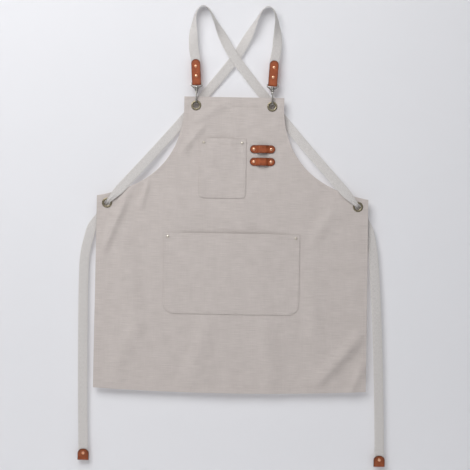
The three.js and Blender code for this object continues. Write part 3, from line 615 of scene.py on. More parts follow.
# %% [markdown]
# ## The panel
#
# The panel is one cut of canvas with its edges turned back and sewn. It could be a plane with a cloth
# simulation, but this apron is spread nearly flat, and its few soft folds are its character. So the
# sheet is a fine grid that follows the real outline, and a small set of named folds pushes it in and
# out. Front and back faces are made together, which lets the hems be thicker than the rest.

# %% The outline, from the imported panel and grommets
BIB_TOP = panel_high.z
BIB_GROMMET_IN = 30.5 * MM  # from the bib's side to its grommet
BIB_HALF = HOOK_X + BIB_GROMMET_IN
BIB_SIDE = 38 * MM
WAIST_GROMMET_IN, WAIST_GROMMET_DOWN = 26.3 * MM, 18.5 * MM  # from the waist's corner to its grommet
WAIST = Vector((WAIST_HOLE.x + WAIST_GROMMET_IN, WAIST_HOLE.z + WAIST_GROMMET_DOWN))
HEM_BOW = 9.5 * MM
HEM = Vector((panel_high.x, panel_low.z + HEM_BOW))
ARMPIT = Vector((BIB_HALF, BIB_TOP - BIB_SIDE))
CLOTH = 1 * MM
HEM_FRONT, HEM_BACK = 0.25 * MM, 0.7 * MM  # what a hem adds on each face
HEM_SOFT = 2.5 * MM  # a doubled edge ends over this width
HEMS = {"top": 25 * MM, "side": 12 * MM, "bottom": 20 * MM, "arm": 10 * MM}
GRID = 4 * MM
ARM_HANDLES = ((0.035, 0.445), (0.257, 0.865))  # shares of the way out and down the arm curve

t = np.linspace(0, 1, 500)[:, None]
reach, drop = WAIST.x - ARMPIT.x, ARMPIT.y - WAIST.y
handles = [ARMPIT, *((ARMPIT.x + aside * reach, ARMPIT.y - down * drop)
                     for aside, down in ARM_HANDLES), WAIST]
arm_curve = sum(weight * np.array(point) for weight, point in zip(
    ((1 - t) ** 3, 3 * t * (1 - t) ** 2, 3 * t ** 2 * (1 - t), t ** 3), handles))
arm_run = np.concatenate([[0], np.cumsum(np.linalg.norm(np.diff(arm_curve, axis=0), axis=1))])
arm_rows = np.linspace(0, arm_run[-1], int(arm_run[-1] / GRID) + 1)
arm_x, arm_z = (np.interp(arm_rows, arm_run, arm_curve[:, i]) for i in (0, 1))


def half_width(z):
    z = np.asarray(z, float)
    skirt = WAIST.x + (HEM.x - WAIST.x) * (WAIST.y - z) / (WAIST.y - HEM.y)
    arm = np.interp(-z, -arm_curve[:, 1], arm_curve[:, 0])
    return np.where(z > ARMPIT.y, BIB_HALF, np.where(z > WAIST.y, arm, skirt))


def hem_z(x):
    return HEM.y - HEM_BOW * (1 - (np.asarray(x) / HEM.x) ** 2)


arm_points = np.array([(x, z) for x, z in zip(arm_x, arm_z)])


def arm_distance(x, z):
    """How far a place lies inside the arm curve."""
    spots = np.stack([np.abs(x), z], -1)[..., None, :]
    return np.sqrt(((spots - arm_points) ** 2).sum(-1)).min(-1)


# %% The folds
# A fold runs from one place to another. It has a width and a height, and it fades in and out along
# its length. Near the grommets and keepers the cloth is held flat, so a quiet mask takes folds away.
FOLDS = [
    # from (x, z), to (x, z), width, height: millimetres
    ((-270, -488), (-328, -634), 11, 9.0),
    ((-217, -456), (-234, -520), 7, 4.6),
    ((-285, -560), (-250, -760), 24, 4.6),
    ((330, -842), (222, -962), 16, 11.0),
    ((345, -905), (305, -990), 12, 5.0),
    ((-98, -296), (-20, -250), 11, 3.2),
    ((-130, -376), (-72, -302), 10, 3.6),
    ((118, -300), (60, -345), 12, 1.6),
    ((262, -520), (205, -600), 16, 4.2),
    ((200, -640), (218, -860), 22, 4.0),
    ((-60, -815), (-110, -980), 26, 4.6),
    ((84, -815), (110, -985), 26, 5.0),
    ((-230, -790), (-300, -960), 24, 5.2),
    ((0, -500), (40, -575), 28, 2.4),
    ((-160, -480), (-120, -570), 20, 2.8),
]
GROMMETS = ("bib_left", "bib_right", "waist_left", "waist_right")
HOLES = [f"grommet_{place_name}" for place_name in GROMMETS]
QUIET_SPOTS = [(name, 24 * MM) for name in HOLES]
QUIET_SPOTS += [("keeper_strap_upper", 42 * MM), ("keeper_strap_lower", 42 * MM)]
RUMPLE = 1.1 * MM


def lay(x, z):
    """How far the cloth stands back from the flat, in y, at each place."""
    x, z = np.asarray(x, float), np.asarray(z, float)
    y = np.zeros(x.shape)
    for start, end, width, height in FOLDS:
        a, b = np.array(start) * MM, np.array(end) * MM
        length = np.linalg.norm(b - a)
        way = (b - a) / length
        run = ((x - a[0]) * way[0] + (z - a[1]) * way[1]) / length
        aside = ((x - a[0]) * way[1] - (z - a[1]) * way[0]) / (width * MM)
        fade = smooth((run + 0.25) / 0.5) * smooth((1.25 - run) / 0.5)
        y -= height * MM * np.exp(-aside ** 2) * fade
    for i in range(1, 5):
        y += RUMPLE / i * np.sin(x * 17 * i + z * 9 * i + i) * np.sin(z * 13 * i - x * 6 * i + 2 * i)
    for name, radius in QUIET_SPOTS:
        spot = centre(name)
        y *= 1 - np.exp(-((x - spot.x) ** 2 + (z - spot.z) ** 2) / radius ** 2)
    return y


# %% A sheet with two faces and a rounded rim
def two_faced(name, x, z, front, back, material, round_edge=0.45 * MM):
    """x, z, front and back are grids of rows and columns; the rim closes front to back."""
    rows, columns = x.shape
    rim = [(0, j) for j in range(columns)] + [(i, columns - 1) for i in range(1, rows)]
    rim += [(rows - 1, j) for j in range(columns - 2, -1, -1)] + [(i, 0) for i in range(rows - 2, 0, -1)]
    edge = [i * columns + j for i, j in rim]
    flat = np.stack([x.ravel(), z.ravel()], 1)
    around = flat[edge]
    way = np.roll(around, -1, 0) - np.roll(around, 1, 0)
    way /= np.linalg.norm(way, axis=1)[:, None] + 1e-12
    outwards = np.stack([way[:, 1], -way[:, 0]], 1)
    inner = around.mean(0) - around
    outwards *= -np.sign((outwards * inner).sum(1).mean())
    spine = around.copy()
    flat[edge] = around - outwards * round_edge
    total = rows * columns
    vertices = [(px, y, pz) for (px, pz), y in zip(flat, front.ravel())]
    vertices += [(px, y, pz) for (px, pz), y in zip(flat, back.ravel())]
    middle_y = (front.ravel()[edge] + back.ravel()[edge]) / 2
    vertices += [(px, y, pz) for (px, pz), y in zip(spine, middle_y)]
    faces = []
    for i in range(rows - 1):
        for j in range(columns - 1):
            a, b = i * columns + j, i * columns + j + 1
            c, d = b + columns, a + columns
            faces.append((a, b, c, d))
            faces.append((total + d, total + c, total + b, total + a))
    for k, this in enumerate(edge):
        nxt = edge[(k + 1) % len(edge)]
        mid, mid_next = 2 * total + k, 2 * total + (k + 1) % len(edge)
        faces.append((nxt, this, mid, mid_next))
        faces.append((mid_next, mid, total + this, total + nxt))
    piece = mesh_piece(name, vertices, faces, material)
    outward(piece)
    return piece


# %% The panel itself
bib_rows = np.linspace(BIB_TOP, ARMPIT.y, 11)[:-1]
skirt_rows = np.linspace(0, 1, int((WAIST.y - HEM.y) / GRID) + 1)[1:]
across = np.linspace(-1, 1, int(2 * HEM.x / GRID) + 1)
upper_z = np.concatenate([bib_rows, arm_z])
upper_half = np.concatenate([np.full(len(bib_rows), BIB_HALF), arm_x])
upper_x = upper_half[:, None] * across
skirt_half = WAIST.x + (HEM.x - WAIST.x) * skirt_rows
skirt_x = skirt_half[:, None] * across
skirt_z = WAIST.y + (hem_z(skirt_x) - WAIST.y) * skirt_rows[:, None]
grid_x = np.vstack([upper_x, skirt_x])
grid_z = np.vstack([np.repeat(upper_z[:, None], len(across), 1), skirt_z])


def hem_mask(x, z):
    """1 where the cloth is doubled by a hem or a binding, 0 elsewhere."""
    side = np.where(z < WAIST.y, half_width(z) - np.abs(x), 1)
    edges = [(BIB_TOP - z, HEMS["top"]), (z - hem_z(x), HEMS["bottom"]), (side, HEMS["side"]),
             (arm_distance(x, z), HEMS["arm"])]
    return np.max([smooth((width + HEM_SOFT / 2 - d) / HEM_SOFT) for d, width in edges], axis=0)


hem = hem_mask(grid_x, grid_z)
lie = lay(grid_x, grid_z)
panel = two_faced("panel", grid_x, grid_z, lie - HEM_FRONT * hem, lie + CLOTH + HEM_BACK * hem, canvas)
print("panel faces:", len(panel.data.polygons))

# %% Eyelet holes through the panel
# A boolean with four short cylinders cuts the holes that the grommets' barrels pass through.
CLOTH_HOLE = 8.5 * MM
for name in HOLES:
    spot = centre(name)
    bpy.ops.object.select_all(action="DESELECT")
    bpy.ops.mesh.primitive_cylinder_add(vertices=40, radius=CLOTH_HOLE, depth=30 * MM,
                                        location=(spot.x, 0, spot.z), rotation=(math.pi / 2, 0, 0))
    cutter = bpy.context.active_object
    cut = panel.modifiers.new("eyelet", "BOOLEAN")
    cut.operation = "DIFFERENCE"
    cut.solver = "EXACT"
    cut.object = cutter
    bpy.context.view_layer.objects.active = panel
    bpy.ops.object.modifier_apply(modifier=cut.name)
    bpy.data.objects.remove(cutter)
print("panel faces after the holes:", len(panel.data.polygons))

stands_for(panel, "apron_panel")

# %% [markdown]
# ## Sewing
#
# The hems are held by rows of lockstitch, and a maker reads an apron by them. A bump texture could
# fake them, but real thread stands proud and catches light at the silhouette. One stitch is a grain
# shape with a few dozen faces. It is copied along each line, on the front and on the back, and each
# seam's stitches make one piece.

# %% One stitch, as a grain of thread
STITCH = 3.6 * MM
THREAD = 0.32 * MM  # radius
EYELET_CLEAR = 15 * MM  # a seam stops this far from the middle of a grommet
THREAD_PROUD = 0.12 * MM  # how far a stitch's middle stands off the cloth


def bare(name):
    """The new primitive, named, with its place in its mesh."""
    piece = bpy.context.active_object
    piece.name = name
    piece.data.name = name
    bpy.ops.object.transform_apply(location=True, rotation=True, scale=True)
    return piece


bpy.ops.object.select_all(action="DESELECT")
bpy.ops.mesh.primitive_uv_sphere_add(segments=6, ring_count=5, radius=1, rotation=(0, math.pi / 2, 0))
grain = bare("stitch")
GRAIN_POINTS = np.array([v.co for v in grain.data.vertices]) * (STITCH * 0.42, THREAD, THREAD)
GRAIN_FACES = [tuple(p.vertices) for p in grain.data.polygons]
bpy.data.objects.remove(grain)
print("one stitch has", len(GRAIN_FACES), "faces")


def even_points(line, step):
    line = np.array(line, float)
    run = np.concatenate([[0], np.cumsum(np.linalg.norm(np.diff(line, axis=0), axis=1))])
    count = max(2, int(round(run[-1] / step)))
    marks = (np.arange(count) + 0.5) * run[-1] / count
    spots = np.stack([np.interp(marks, run, line[:, i]) for i in range(line.shape[1])], 1)
    ahead = np.stack([np.interp(marks + step / 3, run, line[:, i]) for i in range(line.shape[1])], 1)
    back = np.stack([np.interp(marks - step / 3, run, line[:, i]) for i in range(line.shape[1])], 1)
    return spots, ahead - back


def sew(name, lines, faces_of_cloth):
    """Stitches along lines of (x, z); faces_of_cloth gives the surfaces' y and the way each one faces."""
    vertices, faces = [], []
    for line in lines:
        spots, ways = even_points(line, STITCH)
        clear = np.all([np.hypot(spots[:, 0] - eyelet.x, spots[:, 1] - eyelet.z) > EYELET_CLEAR
                        for eyelet in map(centre, HOLES)], axis=0)
        spots, ways = spots[clear], ways[clear]
        for surface, facing in faces_of_cloth:
            depth = surface(spots[:, 0], spots[:, 1])
            for (x, z), (wx, wz), y in zip(spots, ways, depth):
                size = math.hypot(wx, wz)
                wx, wz = wx / size, wz / size
                first = len(vertices)
                proud = y + facing * THREAD_PROUD
                for gx, gy, gz in GRAIN_POINTS:
                    vertices.append((x + gx * wx - gz * wz, proud + gy, z + gx * wz + gz * wx))
                faces += [tuple(first + k for k in face) for face in GRAIN_FACES]
    piece = mesh_piece(name, vertices, faces, thread_finish, 180)
    outward(piece)
    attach(piece, "root")
    return piece


def panel_front(x, z):
    return lay(x, z) - HEM_FRONT * hem_mask(x, z)


def panel_back(x, z):
    return lay(x, z) + CLOTH + HEM_BACK * hem_mask(x, z)


both_faces = [(panel_front, -1), (panel_back, 1)]

# %% Hem and binding seams
SEAM_IN = 1.8 * MM  # the seam runs this far inside the turned edge
SEAM_END = 4 * MM  # a seam stops this far from an edge or a corner
BINDING_IN = 0.6 * MM  # the binding stops this far from the cloth's edge


def arm_line(inset, sign):
    """The arm curve moved into the cloth."""
    way = np.gradient(arm_points, axis=0)
    way /= np.linalg.norm(way, axis=1)[:, None]
    line = arm_points + np.stack([way[:, 1], -way[:, 0]], 1) * inset
    return line * (sign, 1)


top_line = BIB_TOP - HEMS["top"] + SEAM_IN
foot_line = HEMS["bottom"] - SEAM_IN
side_in = HEMS["side"] - SEAM_IN
foot_x = np.linspace(-HEM.x + side_in, HEM.x - side_in, 60)
hem_seams = [
    [(-BIB_HALF + SEAM_END, top_line), (BIB_HALF - SEAM_END, top_line)],
    [(-BIB_HALF + SEAM_END, BIB_TOP - 2 * MM), (BIB_HALF - SEAM_END, BIB_TOP - 2 * MM)],
    [(x, float(hem_z(x)) + foot_line) for x in foot_x],
]
for sign in (-1, 1):
    top_z = WAIST.y - SEAM_END
    hem_seams.append([(sign * (WAIST.x - side_in), top_z), (sign * (HEM.x - side_in), HEM.y + 3 * MM)])
    hem_seams.append(arm_line(HEMS["arm"] - SEAM_IN, sign)[1:-3])
    hem_seams.append([(sign * (BIB_HALF - HEMS["arm"] + SEAM_IN), top_line),
                      (sign * (BIB_HALF - HEMS["arm"] + SEAM_IN), ARMPIT.y)])
panel_seams = sew("panel_seams", hem_seams, both_faces)
print("panel seams:", len(panel_seams.data.polygons), "faces")

# %% [markdown]
# ## Patches and bindings on the back
#
# A grommet would tear out of single cloth, so a square of canvas is sewn behind each one. A narrow
# binding finishes each arm curve. Both lie on the back, so they are thin two-faced sheets that follow
# the panel's own back face, and a square of stitches on the front shows where each patch is held.

# %% Bindings along the arm curves
for side, sign in SIDES.items():
    inner, outer = arm_line(HEMS["arm"], sign), arm_line(BINDING_IN, sign)
    straight = np.linspace(BIB_TOP - HEMS["top"] - 0.5 * MM, ARMPIT.y + GRID, 6)
    lead = [np.stack([np.full(6, sign * (BIB_HALF - d)), straight], 1) for d in (HEMS["arm"], BINDING_IN)]
    edges = np.vstack([lead[0], inner[:-1]]), np.vstack([lead[1], outer[:-1]])
    share = np.linspace(0, 1, 6)[:, None, None]
    band = edges[0][None] * (1 - share) + edges[1][None] * share
    x, z = band[..., 0], band[..., 1]
    back = panel_back(x, z)
    crown = 0.35 * MM * np.sin(math.pi * share[..., 0])
    binding = two_faced(f"binding_{side}", x, z, back - 0.1 * MM, back + 0.3 * MM + crown, canvas, 0.2 * MM)
    stands_for(binding, f"armhole_binding_{side}")
    print(binding.name, len(binding.data.polygons), "faces")

# %% Patches behind the grommets
PATCH_HOLE = 8.4 * MM
PATCH_NEAR, PATCH_FAR = 0.05 * MM, 0.75 * MM  # its two faces, behind the panel
PATCH_CLEAR = 3 * MM  # it keeps this far inside the cloth's edge
PATCH_SEAM = 2.5 * MM  # its stitches run this far inside its own edge
patch_seams = []
for place_name in GROMMETS:
    low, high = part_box(f"grommet_patch_{place_name}")
    spot = centre(f"grommet_{place_name}")
    turns = np.linspace(0, math.tau, 97)
    rings = np.linspace(0, 1, 9)[:, None]
    way_x, way_z = np.cos(turns), np.sin(turns)
    # The square's edge in each direction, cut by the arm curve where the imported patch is.
    far = np.full(turns.shape, 60 * MM)
    sides = ((way_x, low.x - spot.x, high.x - spot.x), (way_z, low.z - spot.z, high.z - spot.z))
    for way, least, most in sides:
        with np.errstate(divide="ignore"):
            far = np.minimum(far, np.where(way > 1e-9, most / way, np.where(way < -1e-9, least / way, far)))
    for _ in range(30):
        x, z = spot.x + way_x * far, spot.z + way_z * far
        beside_arm = (z < ARMPIT.y) & (z > WAIST.y) & (arm_distance(x, z) < PATCH_CLEAR)
        over = (half_width(z) - np.abs(x) < PATCH_CLEAR) | beside_arm
        far = np.where(over, far * 0.97, far)
    run = PATCH_HOLE + (far - PATCH_HOLE) * rings
    x, z = spot.x + way_x * run, spot.z + way_z * run
    back = panel_back(x, z)
    patch = two_faced(f"patch_{place_name}", x, z, back + PATCH_NEAR, back + PATCH_FAR, canvas, 0.15 * MM)
    bpy.ops.object.mode_set(mode="EDIT")
    weld(0.00002)
    bpy.ops.object.mode_set(mode="OBJECT")
    stands_for(patch, f"grommet_patch_{place_name}")
    inside = far - PATCH_SEAM
    patch_seams.append(np.stack([spot.x + way_x * inside, spot.z + way_z * inside], 1))
patch_faces = [(panel_front, -1), (lambda x, z: panel_back(x, z) + PATCH_FAR, 1)]
seams = sew("patch_seams", patch_seams, patch_faces)
print("patch seams:", len(seams.data.polygons), "faces")

# %% [markdown]
# ## Pockets
#
# A patch pocket is cut with an allowance that is turned under and sewn twice round three sides, so its
# edge is thicker than its middle. The mouth has a wider hem and stands a little open. The shape is a
# grid that follows the real outline, with the rows drawn close together at the rounded foot.

# %% Pocket shapes
POCKETS = {
    "chest_pocket": {"corner": 12 * MM, "gape": 3.6 * MM, "rivet": 11 * MM, "columns": 44, "rows": 44},
    "hand_pocket": {"corner": 28 * MM, "gape": 4.6 * MM, "rivet": 10 * MM, "columns": 96, "rows": 58},
}
ALLOWANCE = 9 * MM
MOUTH_HEM = 15 * MM
POCKET_CLOTH = 0.9 * MM
POCKET_TURN = 0.35 * MM  # what a turned edge adds on each face
POCKET_PROUD = 1.35 * MM  # from the panel's own lie to the pocket's front
POCKET_SEAMS = (2.2 * MM, 7 * MM)  # the two rows of stitches, in from the edge


def pocket_half(pocket, rise):
    tuck = np.maximum(0, pocket["corner"] - rise)
    return pocket["width"] / 2 - pocket["corner"] + np.sqrt(np.maximum(pocket["corner"] ** 2 - tuck ** 2, 0))


def pocket_open(pocket, x, z):
    """How far the pocket's front stands off the panel."""
    rise = z - pocket["foot"]
    held = pocket["width"] / 2 - pocket["rivet"] - 4 * MM
    inside = (held - np.abs(x - pocket["x"])) / (pocket["width"] / 4)
    return pocket["gape"] * smooth(inside) * smooth(rise / pocket["height"]) ** 1.6


def pocket_fold(pocket, x, z):
    """1 where the edge is doubled by its allowance or by the mouth's hem."""
    rise = z - pocket["foot"]
    side = pocket_half(pocket, rise) - np.abs(x - pocket["x"])
    near = np.minimum(side, rise)
    edge = smooth((ALLOWANCE + HEM_SOFT / 2 - near) / HEM_SOFT)
    mouth = smooth((MOUTH_HEM + HEM_SOFT / 2 - (pocket["height"] - rise)) / HEM_SOFT)
    return np.maximum(edge, mouth)


def pocket_front(pocket):
    return lambda x, z: (lay(x, z) - POCKET_PROUD - pocket_open(pocket, x, z)
                         - POCKET_TURN * pocket_fold(pocket, x, z))


def pocket_line(pocket, inset):
    """Down one side, round the foot and up the other, inside the edge."""
    radius = pocket["corner"] - inset
    left, right = (pocket["x"] + s * (pocket["width"] / 2 - inset) for s in (-1, 1))
    foot, mouth = pocket["foot"] + inset, pocket["foot"] + pocket["height"] - 2 * MM
    bend = np.linspace(0, math.pi / 2, 9)
    line = [(left, mouth)]
    line += [(left + radius * (1 - math.cos(a)), foot + radius * (1 - math.sin(a))) for a in bend]
    line += [(right - radius * (1 - math.cos(a)), foot + radius * (1 - math.sin(a))) for a in bend[::-1]]
    line.append((right, mouth))
    return line


for name, pocket in POCKETS.items():
    low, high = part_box(name)
    pocket["width"], pocket["height"] = high.x - low.x, high.z - low.z
    pocket["x"], pocket["foot"] = (low.x + high.x) / 2, low.z
    share = np.linspace(0, 1, pocket["rows"])[:, None]
    rise = pocket["height"] * share ** 1.35
    across = np.linspace(-1, 1, pocket["columns"])
    x = pocket["x"] + pocket_half(pocket, rise) * across
    z = pocket["foot"] + rise + 0 * x
    front = pocket_front(pocket)(x, z)
    back = front + POCKET_CLOTH + POCKET_TURN * pocket_fold(pocket, x, z)
    cloth = two_faced(name + "_cloth", x, z, front, back, canvas)
    mouth_z = high.z - MOUTH_HEM + 2 * MM
    mouth_seam = [(low.x + 3 * MM, mouth_z), (high.x - 3 * MM, mouth_z)]
    rows = [pocket_line(pocket, inset) for inset in POCKET_SEAMS] + [mouth_seam]
    seams = sew(name + "_seams", rows, [(pocket_front(pocket), -1)])
    stands_for(cloth, name)
    cut = (pocket["width"] + 2 * ALLOWANCE, pocket["height"] + ALLOWANCE + MOUTH_HEM)
    print(cloth.name, len(cloth.data.polygons), "faces; cut", [round(size, 3) for size in cut])

# %% [markdown]
# ## Leather
#
# The strap ends are one length of leather folded round the hook's bar and riveted through the webbing.
# Folding is modelled as it is done: one leaf is drawn, its end is rounded, and the strip is extruded
# round the bar and up the other side. Thickness and the rounded, burnished edge come last, as modifiers.
# An attribute marks how near each point is to the cut edge, and the leather darkens there.

# %% Modelling helpers
def begin(name, size, turn=(0, 0, 0)):
    """A new plane on the origin, alone in the selection, in edit mode."""
    bpy.ops.object.select_all(action="DESELECT")
    bpy.ops.mesh.primitive_plane_add(size=size, location=(0, 0, 0), rotation=turn)
    piece = bare(name)
    bpy.ops.object.mode_set(mode="EDIT")
    return piece


def pick(piece, kind, test):
    """Selects only the vertices, or only the edges, whose middle passes the test."""
    mesh = bmesh.from_edit_mesh(piece.data)
    bpy.ops.mesh.select_mode(type=kind)
    bpy.ops.mesh.select_all(action="DESELECT")
    if kind == "VERT":
        for vertex in mesh.verts:
            vertex.select = test(vertex.co)
    if kind == "EDGE":
        for edge in mesh.edges:
            edge.select = test((edge.verts[0].co + edge.verts[1].co) / 2)
    mesh.select_flush_mode()
    bmesh.update_edit_mesh(piece.data)


def shift(x=0.0, y=0.0, z=0.0):
    bpy.ops.transform.translate(value=(x, y, z))


def slice_across(axis, cuts):
    """Cuts the whole piece square to an axis, 0 for x and 2 for z, at each of the cuts."""
    for cut in cuts:
        place, way = [0.0, 0.0, 0.0], [0, 0, 0]
        place[axis], way[axis] = float(cut), 1
        bpy.ops.mesh.select_all(action="SELECT")
        bpy.ops.mesh.bisect(plane_co=place, plane_no=way)


def draw_out(y, z):
    bpy.ops.mesh.extrude_region_move(TRANSFORM_OT_translate={"value": (0, y, z)})


def done():
    bpy.ops.object.mode_set(mode="OBJECT")


def apply_modifier(piece, kind, **settings):
    alone(piece)
    modifier = piece.modifiers.new(kind.lower(), kind)
    for name, value in settings.items():
        setattr(modifier, name, value)
    bpy.ops.object.modifier_apply(modifier=modifier.name)


def burnish(piece, distance_to_edge, reach):
    """Writes 1 at the cut edge, fading to 0 at reach inside it."""
    mark = piece.data.attributes.new("burnish", "FLOAT", "POINT")
    for vertex, value in zip(piece.data.vertices, mark.data):
        value.value = float(1 - smooth(distance_to_edge(vertex.co) / reach))


def copy_piece(piece, name, placing):
    twin = piece.copy()
    twin.data = piece.data.copy()
    twin.name = name
    twin.data.name = name
    bpy.context.collection.objects.link(twin)
    twin.data.transform(placing)
    return twin


# %% A folded leather tab, standing on the origin
LEATHER = 1.8 * MM
LEAF = 1.3 * MM  # from the tab's middle to the inner face of each leaf
BURNISHED = 2.6 * MM  # the dark band inside a cut edge
EDGE_STRIP = 1.6 * MM  # a row of faces along each long edge


def round_end(piece, z, half, radius):
    """Rounds the two corners of a leaf's end."""
    pick(piece, "VERT", lambda co: abs(co.z - z) < 0.1 * MM and abs(abs(co.x) - half) < 0.1 * MM)
    bpy.ops.mesh.bevel(offset=radius, affect="VERTICES", segments=9)


def folded_tab(name, width, height, fold_radius, pinch, corner, material):
    half = width / 2
    piece = begin(name, 1, (math.pi / 2, 0, 0))
    bpy.ops.mesh.select_all(action="SELECT")
    bpy.ops.transform.resize(value=(width, 1, height - pinch))
    shift(y=-LEAF, z=(height + pinch) / 2)
    pick(piece, "EDGE", lambda co: abs(co.z - pinch) < 0.1 * MM)
    spots = [(-LEAF, pinch)]
    turns = 12
    spots += [(-fold_radius * math.cos(math.pi * i / turns), -fold_radius * math.sin(math.pi * i / turns))
              for i in range(turns + 1)]
    spots += [(LEAF, pinch), (LEAF, height)]
    for (y0, z0), (y1, z1) in zip(spots, spots[1:]):
        draw_out(y1 - y0, z1 - z0)
    weld(0.00001)
    round_end(piece, height, half, corner)
    slice_across(2, np.arange(pinch + 2 * MM, height - 1 * MM, 3.2 * MM))
    slice_across(0, (-half + EDGE_STRIP, half - EDGE_STRIP, -half / 3, half / 3))
    bpy.ops.mesh.select_all(action="SELECT")
    bpy.ops.mesh.normals_make_consistent(inside=False)
    done()
    outward_fold(piece)
    apply_modifier(piece, "SOLIDIFY", thickness=LEATHER, offset=1, use_even_offset=True)
    apply_modifier(piece, "BEVEL", width=0.45 * MM, segments=3, limit_method="ANGLE",
                   angle_limit=math.radians(50))
    piece.data.materials.append(material)
    soften(piece)
    centre_z = height - corner

    def inside(co):
        side = half - abs(co.x)
        over = co.z - centre_z
        if over > 0:
            past = max(0.0, abs(co.x) - (half - corner))
            side = min(side, corner - math.hypot(past, over))
        return max(0.0, side)

    burnish(piece, inside, BURNISHED)
    return piece


def outward_fold(piece):
    """Turns the open strip so that its faces look away from the fold's middle."""
    front = [p for p in piece.data.polygons if p.center.y < -LEAF / 2 and p.center.z > 10 * MM]
    if sum(p.normal.y * p.area for p in front) > 0:
        piece.data.flip_normals()


tab_width = WEB_WIDTH - 1 * MM
tab_corner = tab_width / 2 - 0.3 * MM
tab = folded_tab("strap_tab", tab_width, TAB_LENGTH, 2.4 * MM, 7 * MM, tab_corner, strap_leather)
for side, sign in SIDES.items():
    placing = Matrix.Translation(on_tab(sign, 0)) @ Matrix.Rotation(sign * TAB_LEAN, 4, "Y")
    stands_for(copy_piece(tab, f"leather_tab_{side}", placing), f"strap_tab_{side}")
print("strap tab:", len(tab.data.polygons), "faces")
bpy.data.objects.remove(tab)

# %% The ties' leather ends
# These fold flat over the webbing's end and are cut to a dome at the top.
low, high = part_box("tie_end_left")
end_width, end_height = high.x - low.x, high.z - low.z
END_FOLD = 3.1 * MM  # the fold's own height, below where the leaves start
end_corner = end_width / 2 - 1.5 * MM
end_tab = folded_tab("end_tab", end_width, end_height - END_FOLD, 1.3 * MM, 1 * MM, end_corner, end_leather)
for side in SIDES:
    low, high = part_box(f"tie_end_{side}")
    placing = Matrix.Translation(((low.x + high.x) / 2, (low.y + high.y) / 2, low.z + END_FOLD))
    stands_for(copy_piece(end_tab, f"leather_end_{side}", placing), f"tie_end_{side}")
print("tie end:", len(end_tab.data.polygons), "faces")
bpy.data.objects.remove(end_tab)

# %% [markdown]
# ## Keepers
#
# Two short leather straps sit beside the chest pocket and arch off the cloth, so that a towel or a
# tool can be threaded through. Each starts as a flat plane with rounded ends. Cuts across it let
# the middle be lifted in an even arch.

# %% The keeper straps
low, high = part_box("keeper_strap_upper")
KEEPER = Vector((high.x - low.x, high.y - low.y, high.z - low.z))
KEEPER_THICK = 2 * MM
KEEPER_RIVETS = 43.9 * MM
KEEPER_FOOT = 5.25 * MM  # the ends lie flat up to this far inside their rivets
KEEPER_ARCH = 6.3 * MM
keeper = begin("keeper", 1, (math.pi / 2, 0, 0))
bpy.ops.mesh.select_all(action="SELECT")
bpy.ops.transform.resize(value=(KEEPER.x, 1, KEEPER.z))
bpy.ops.mesh.bevel(offset=KEEPER.z / 2 - 0.05 * MM, affect="VERTICES", segments=10)
slice_across(0, np.linspace(-KEEPER.x / 2 + 2 * MM, KEEPER.x / 2 - 2 * MM, 33))
slice_across(2, (-KEEPER.z / 2 + EDGE_STRIP, -3 * MM, 3 * MM, KEEPER.z / 2 - EDGE_STRIP))
done()
foot = KEEPER_RIVETS / 2 - KEEPER_FOOT
for vertex in keeper.data.vertices:
    vertex.co.y -= KEEPER_ARCH * float(smooth((foot - abs(vertex.co.x)) / (foot * 0.6)))
if sum(p.normal.y for p in keeper.data.polygons) > 0:
    keeper.data.flip_normals()
apply_modifier(keeper, "SOLIDIFY", thickness=KEEPER_THICK, offset=1, use_even_offset=True)
apply_modifier(keeper, "BEVEL", width=0.5 * MM, segments=3, limit_method="ANGLE",
               angle_limit=math.radians(50))
keeper.data.materials.append(strap_leather)
soften(keeper)
straight = KEEPER.x / 2 - KEEPER.z / 2
burnish(keeper, lambda co: max(0.0, KEEPER.z / 2 - math.hypot(max(0.0, abs(co.x) - straight), co.z)), 3 * MM)
for height in ("upper", "lower"):
    low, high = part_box(f"keeper_strap_{height}")
    placing = Matrix.Translation(((low.x + high.x) / 2, -0.3 * MM, (low.z + high.z) / 2))
    stands_for(copy_piece(keeper, f"leather_keeper_{height}", placing), f"keeper_strap_{height}")
print("keeper:", len(keeper.data.polygons), "faces")
bpy.data.objects.remove(keeper)

# %% [markdown]
# ## Turned metal: rivets and grommets
#
# Rivets and grommets are round, so each is a profile spun about its axis. The profile starts as one
# point, is extruded from place to place and spun in steps. Merging the doubled seam and making the
# normals consistent leaves a closed skin.

# %% Spinning a profile about Y
def spun(name, profile, material, steps=48):
    """profile is a list of (radius, y); it starts and ends on the axis, or closes on itself."""
    piece = begin(name, 1 * MM)
    bpy.ops.mesh.select_all(action="SELECT")
    bpy.ops.mesh.merge(type="CENTER")
    bpy.ops.mesh.select_all(action="SELECT")
    shift(x=profile[0][0], y=profile[0][1])
    for (r0, y0), (r1, y1) in zip(profile, profile[1:]):
        bpy.ops.mesh.extrude_vertices_move(TRANSFORM_OT_translate={"value": (r1 - r0, y1 - y0, 0)})
    bpy.ops.mesh.select_all(action="SELECT")
    bpy.ops.mesh.spin(steps=steps, angle=math.tau, center=(0, 0, 0), axis=(0, 1, 0))
    weld(0.000004)
    bpy.ops.mesh.normals_make_consistent(inside=False)
    done()
    piece.data.materials.append(material)
    soften(piece, 45)
    return piece


def arc(middle, radius, start, stop, count, stretch=1.0):
    """Points on a round part of a profile, angles in degrees from +radius towards +y."""
    angles = np.radians(np.linspace(start, stop, count))
    return [(middle[0] + radius * math.cos(a), middle[1] + stretch * radius * math.sin(a)) for a in angles]


# %% Rivets
# A double-cap rivet has a low dome with a rolled rim in front, a post, and the same dome behind.
POST = 1.5 * MM  # radius
RIVET_HEAD = 3.75 * MM  # radius of the copper heads
ROLLED_RIM = 0.38 * MM
CLOTH_BACK = 1.35 * MM  # where a rivet's back head starts behind the cloth's own lie


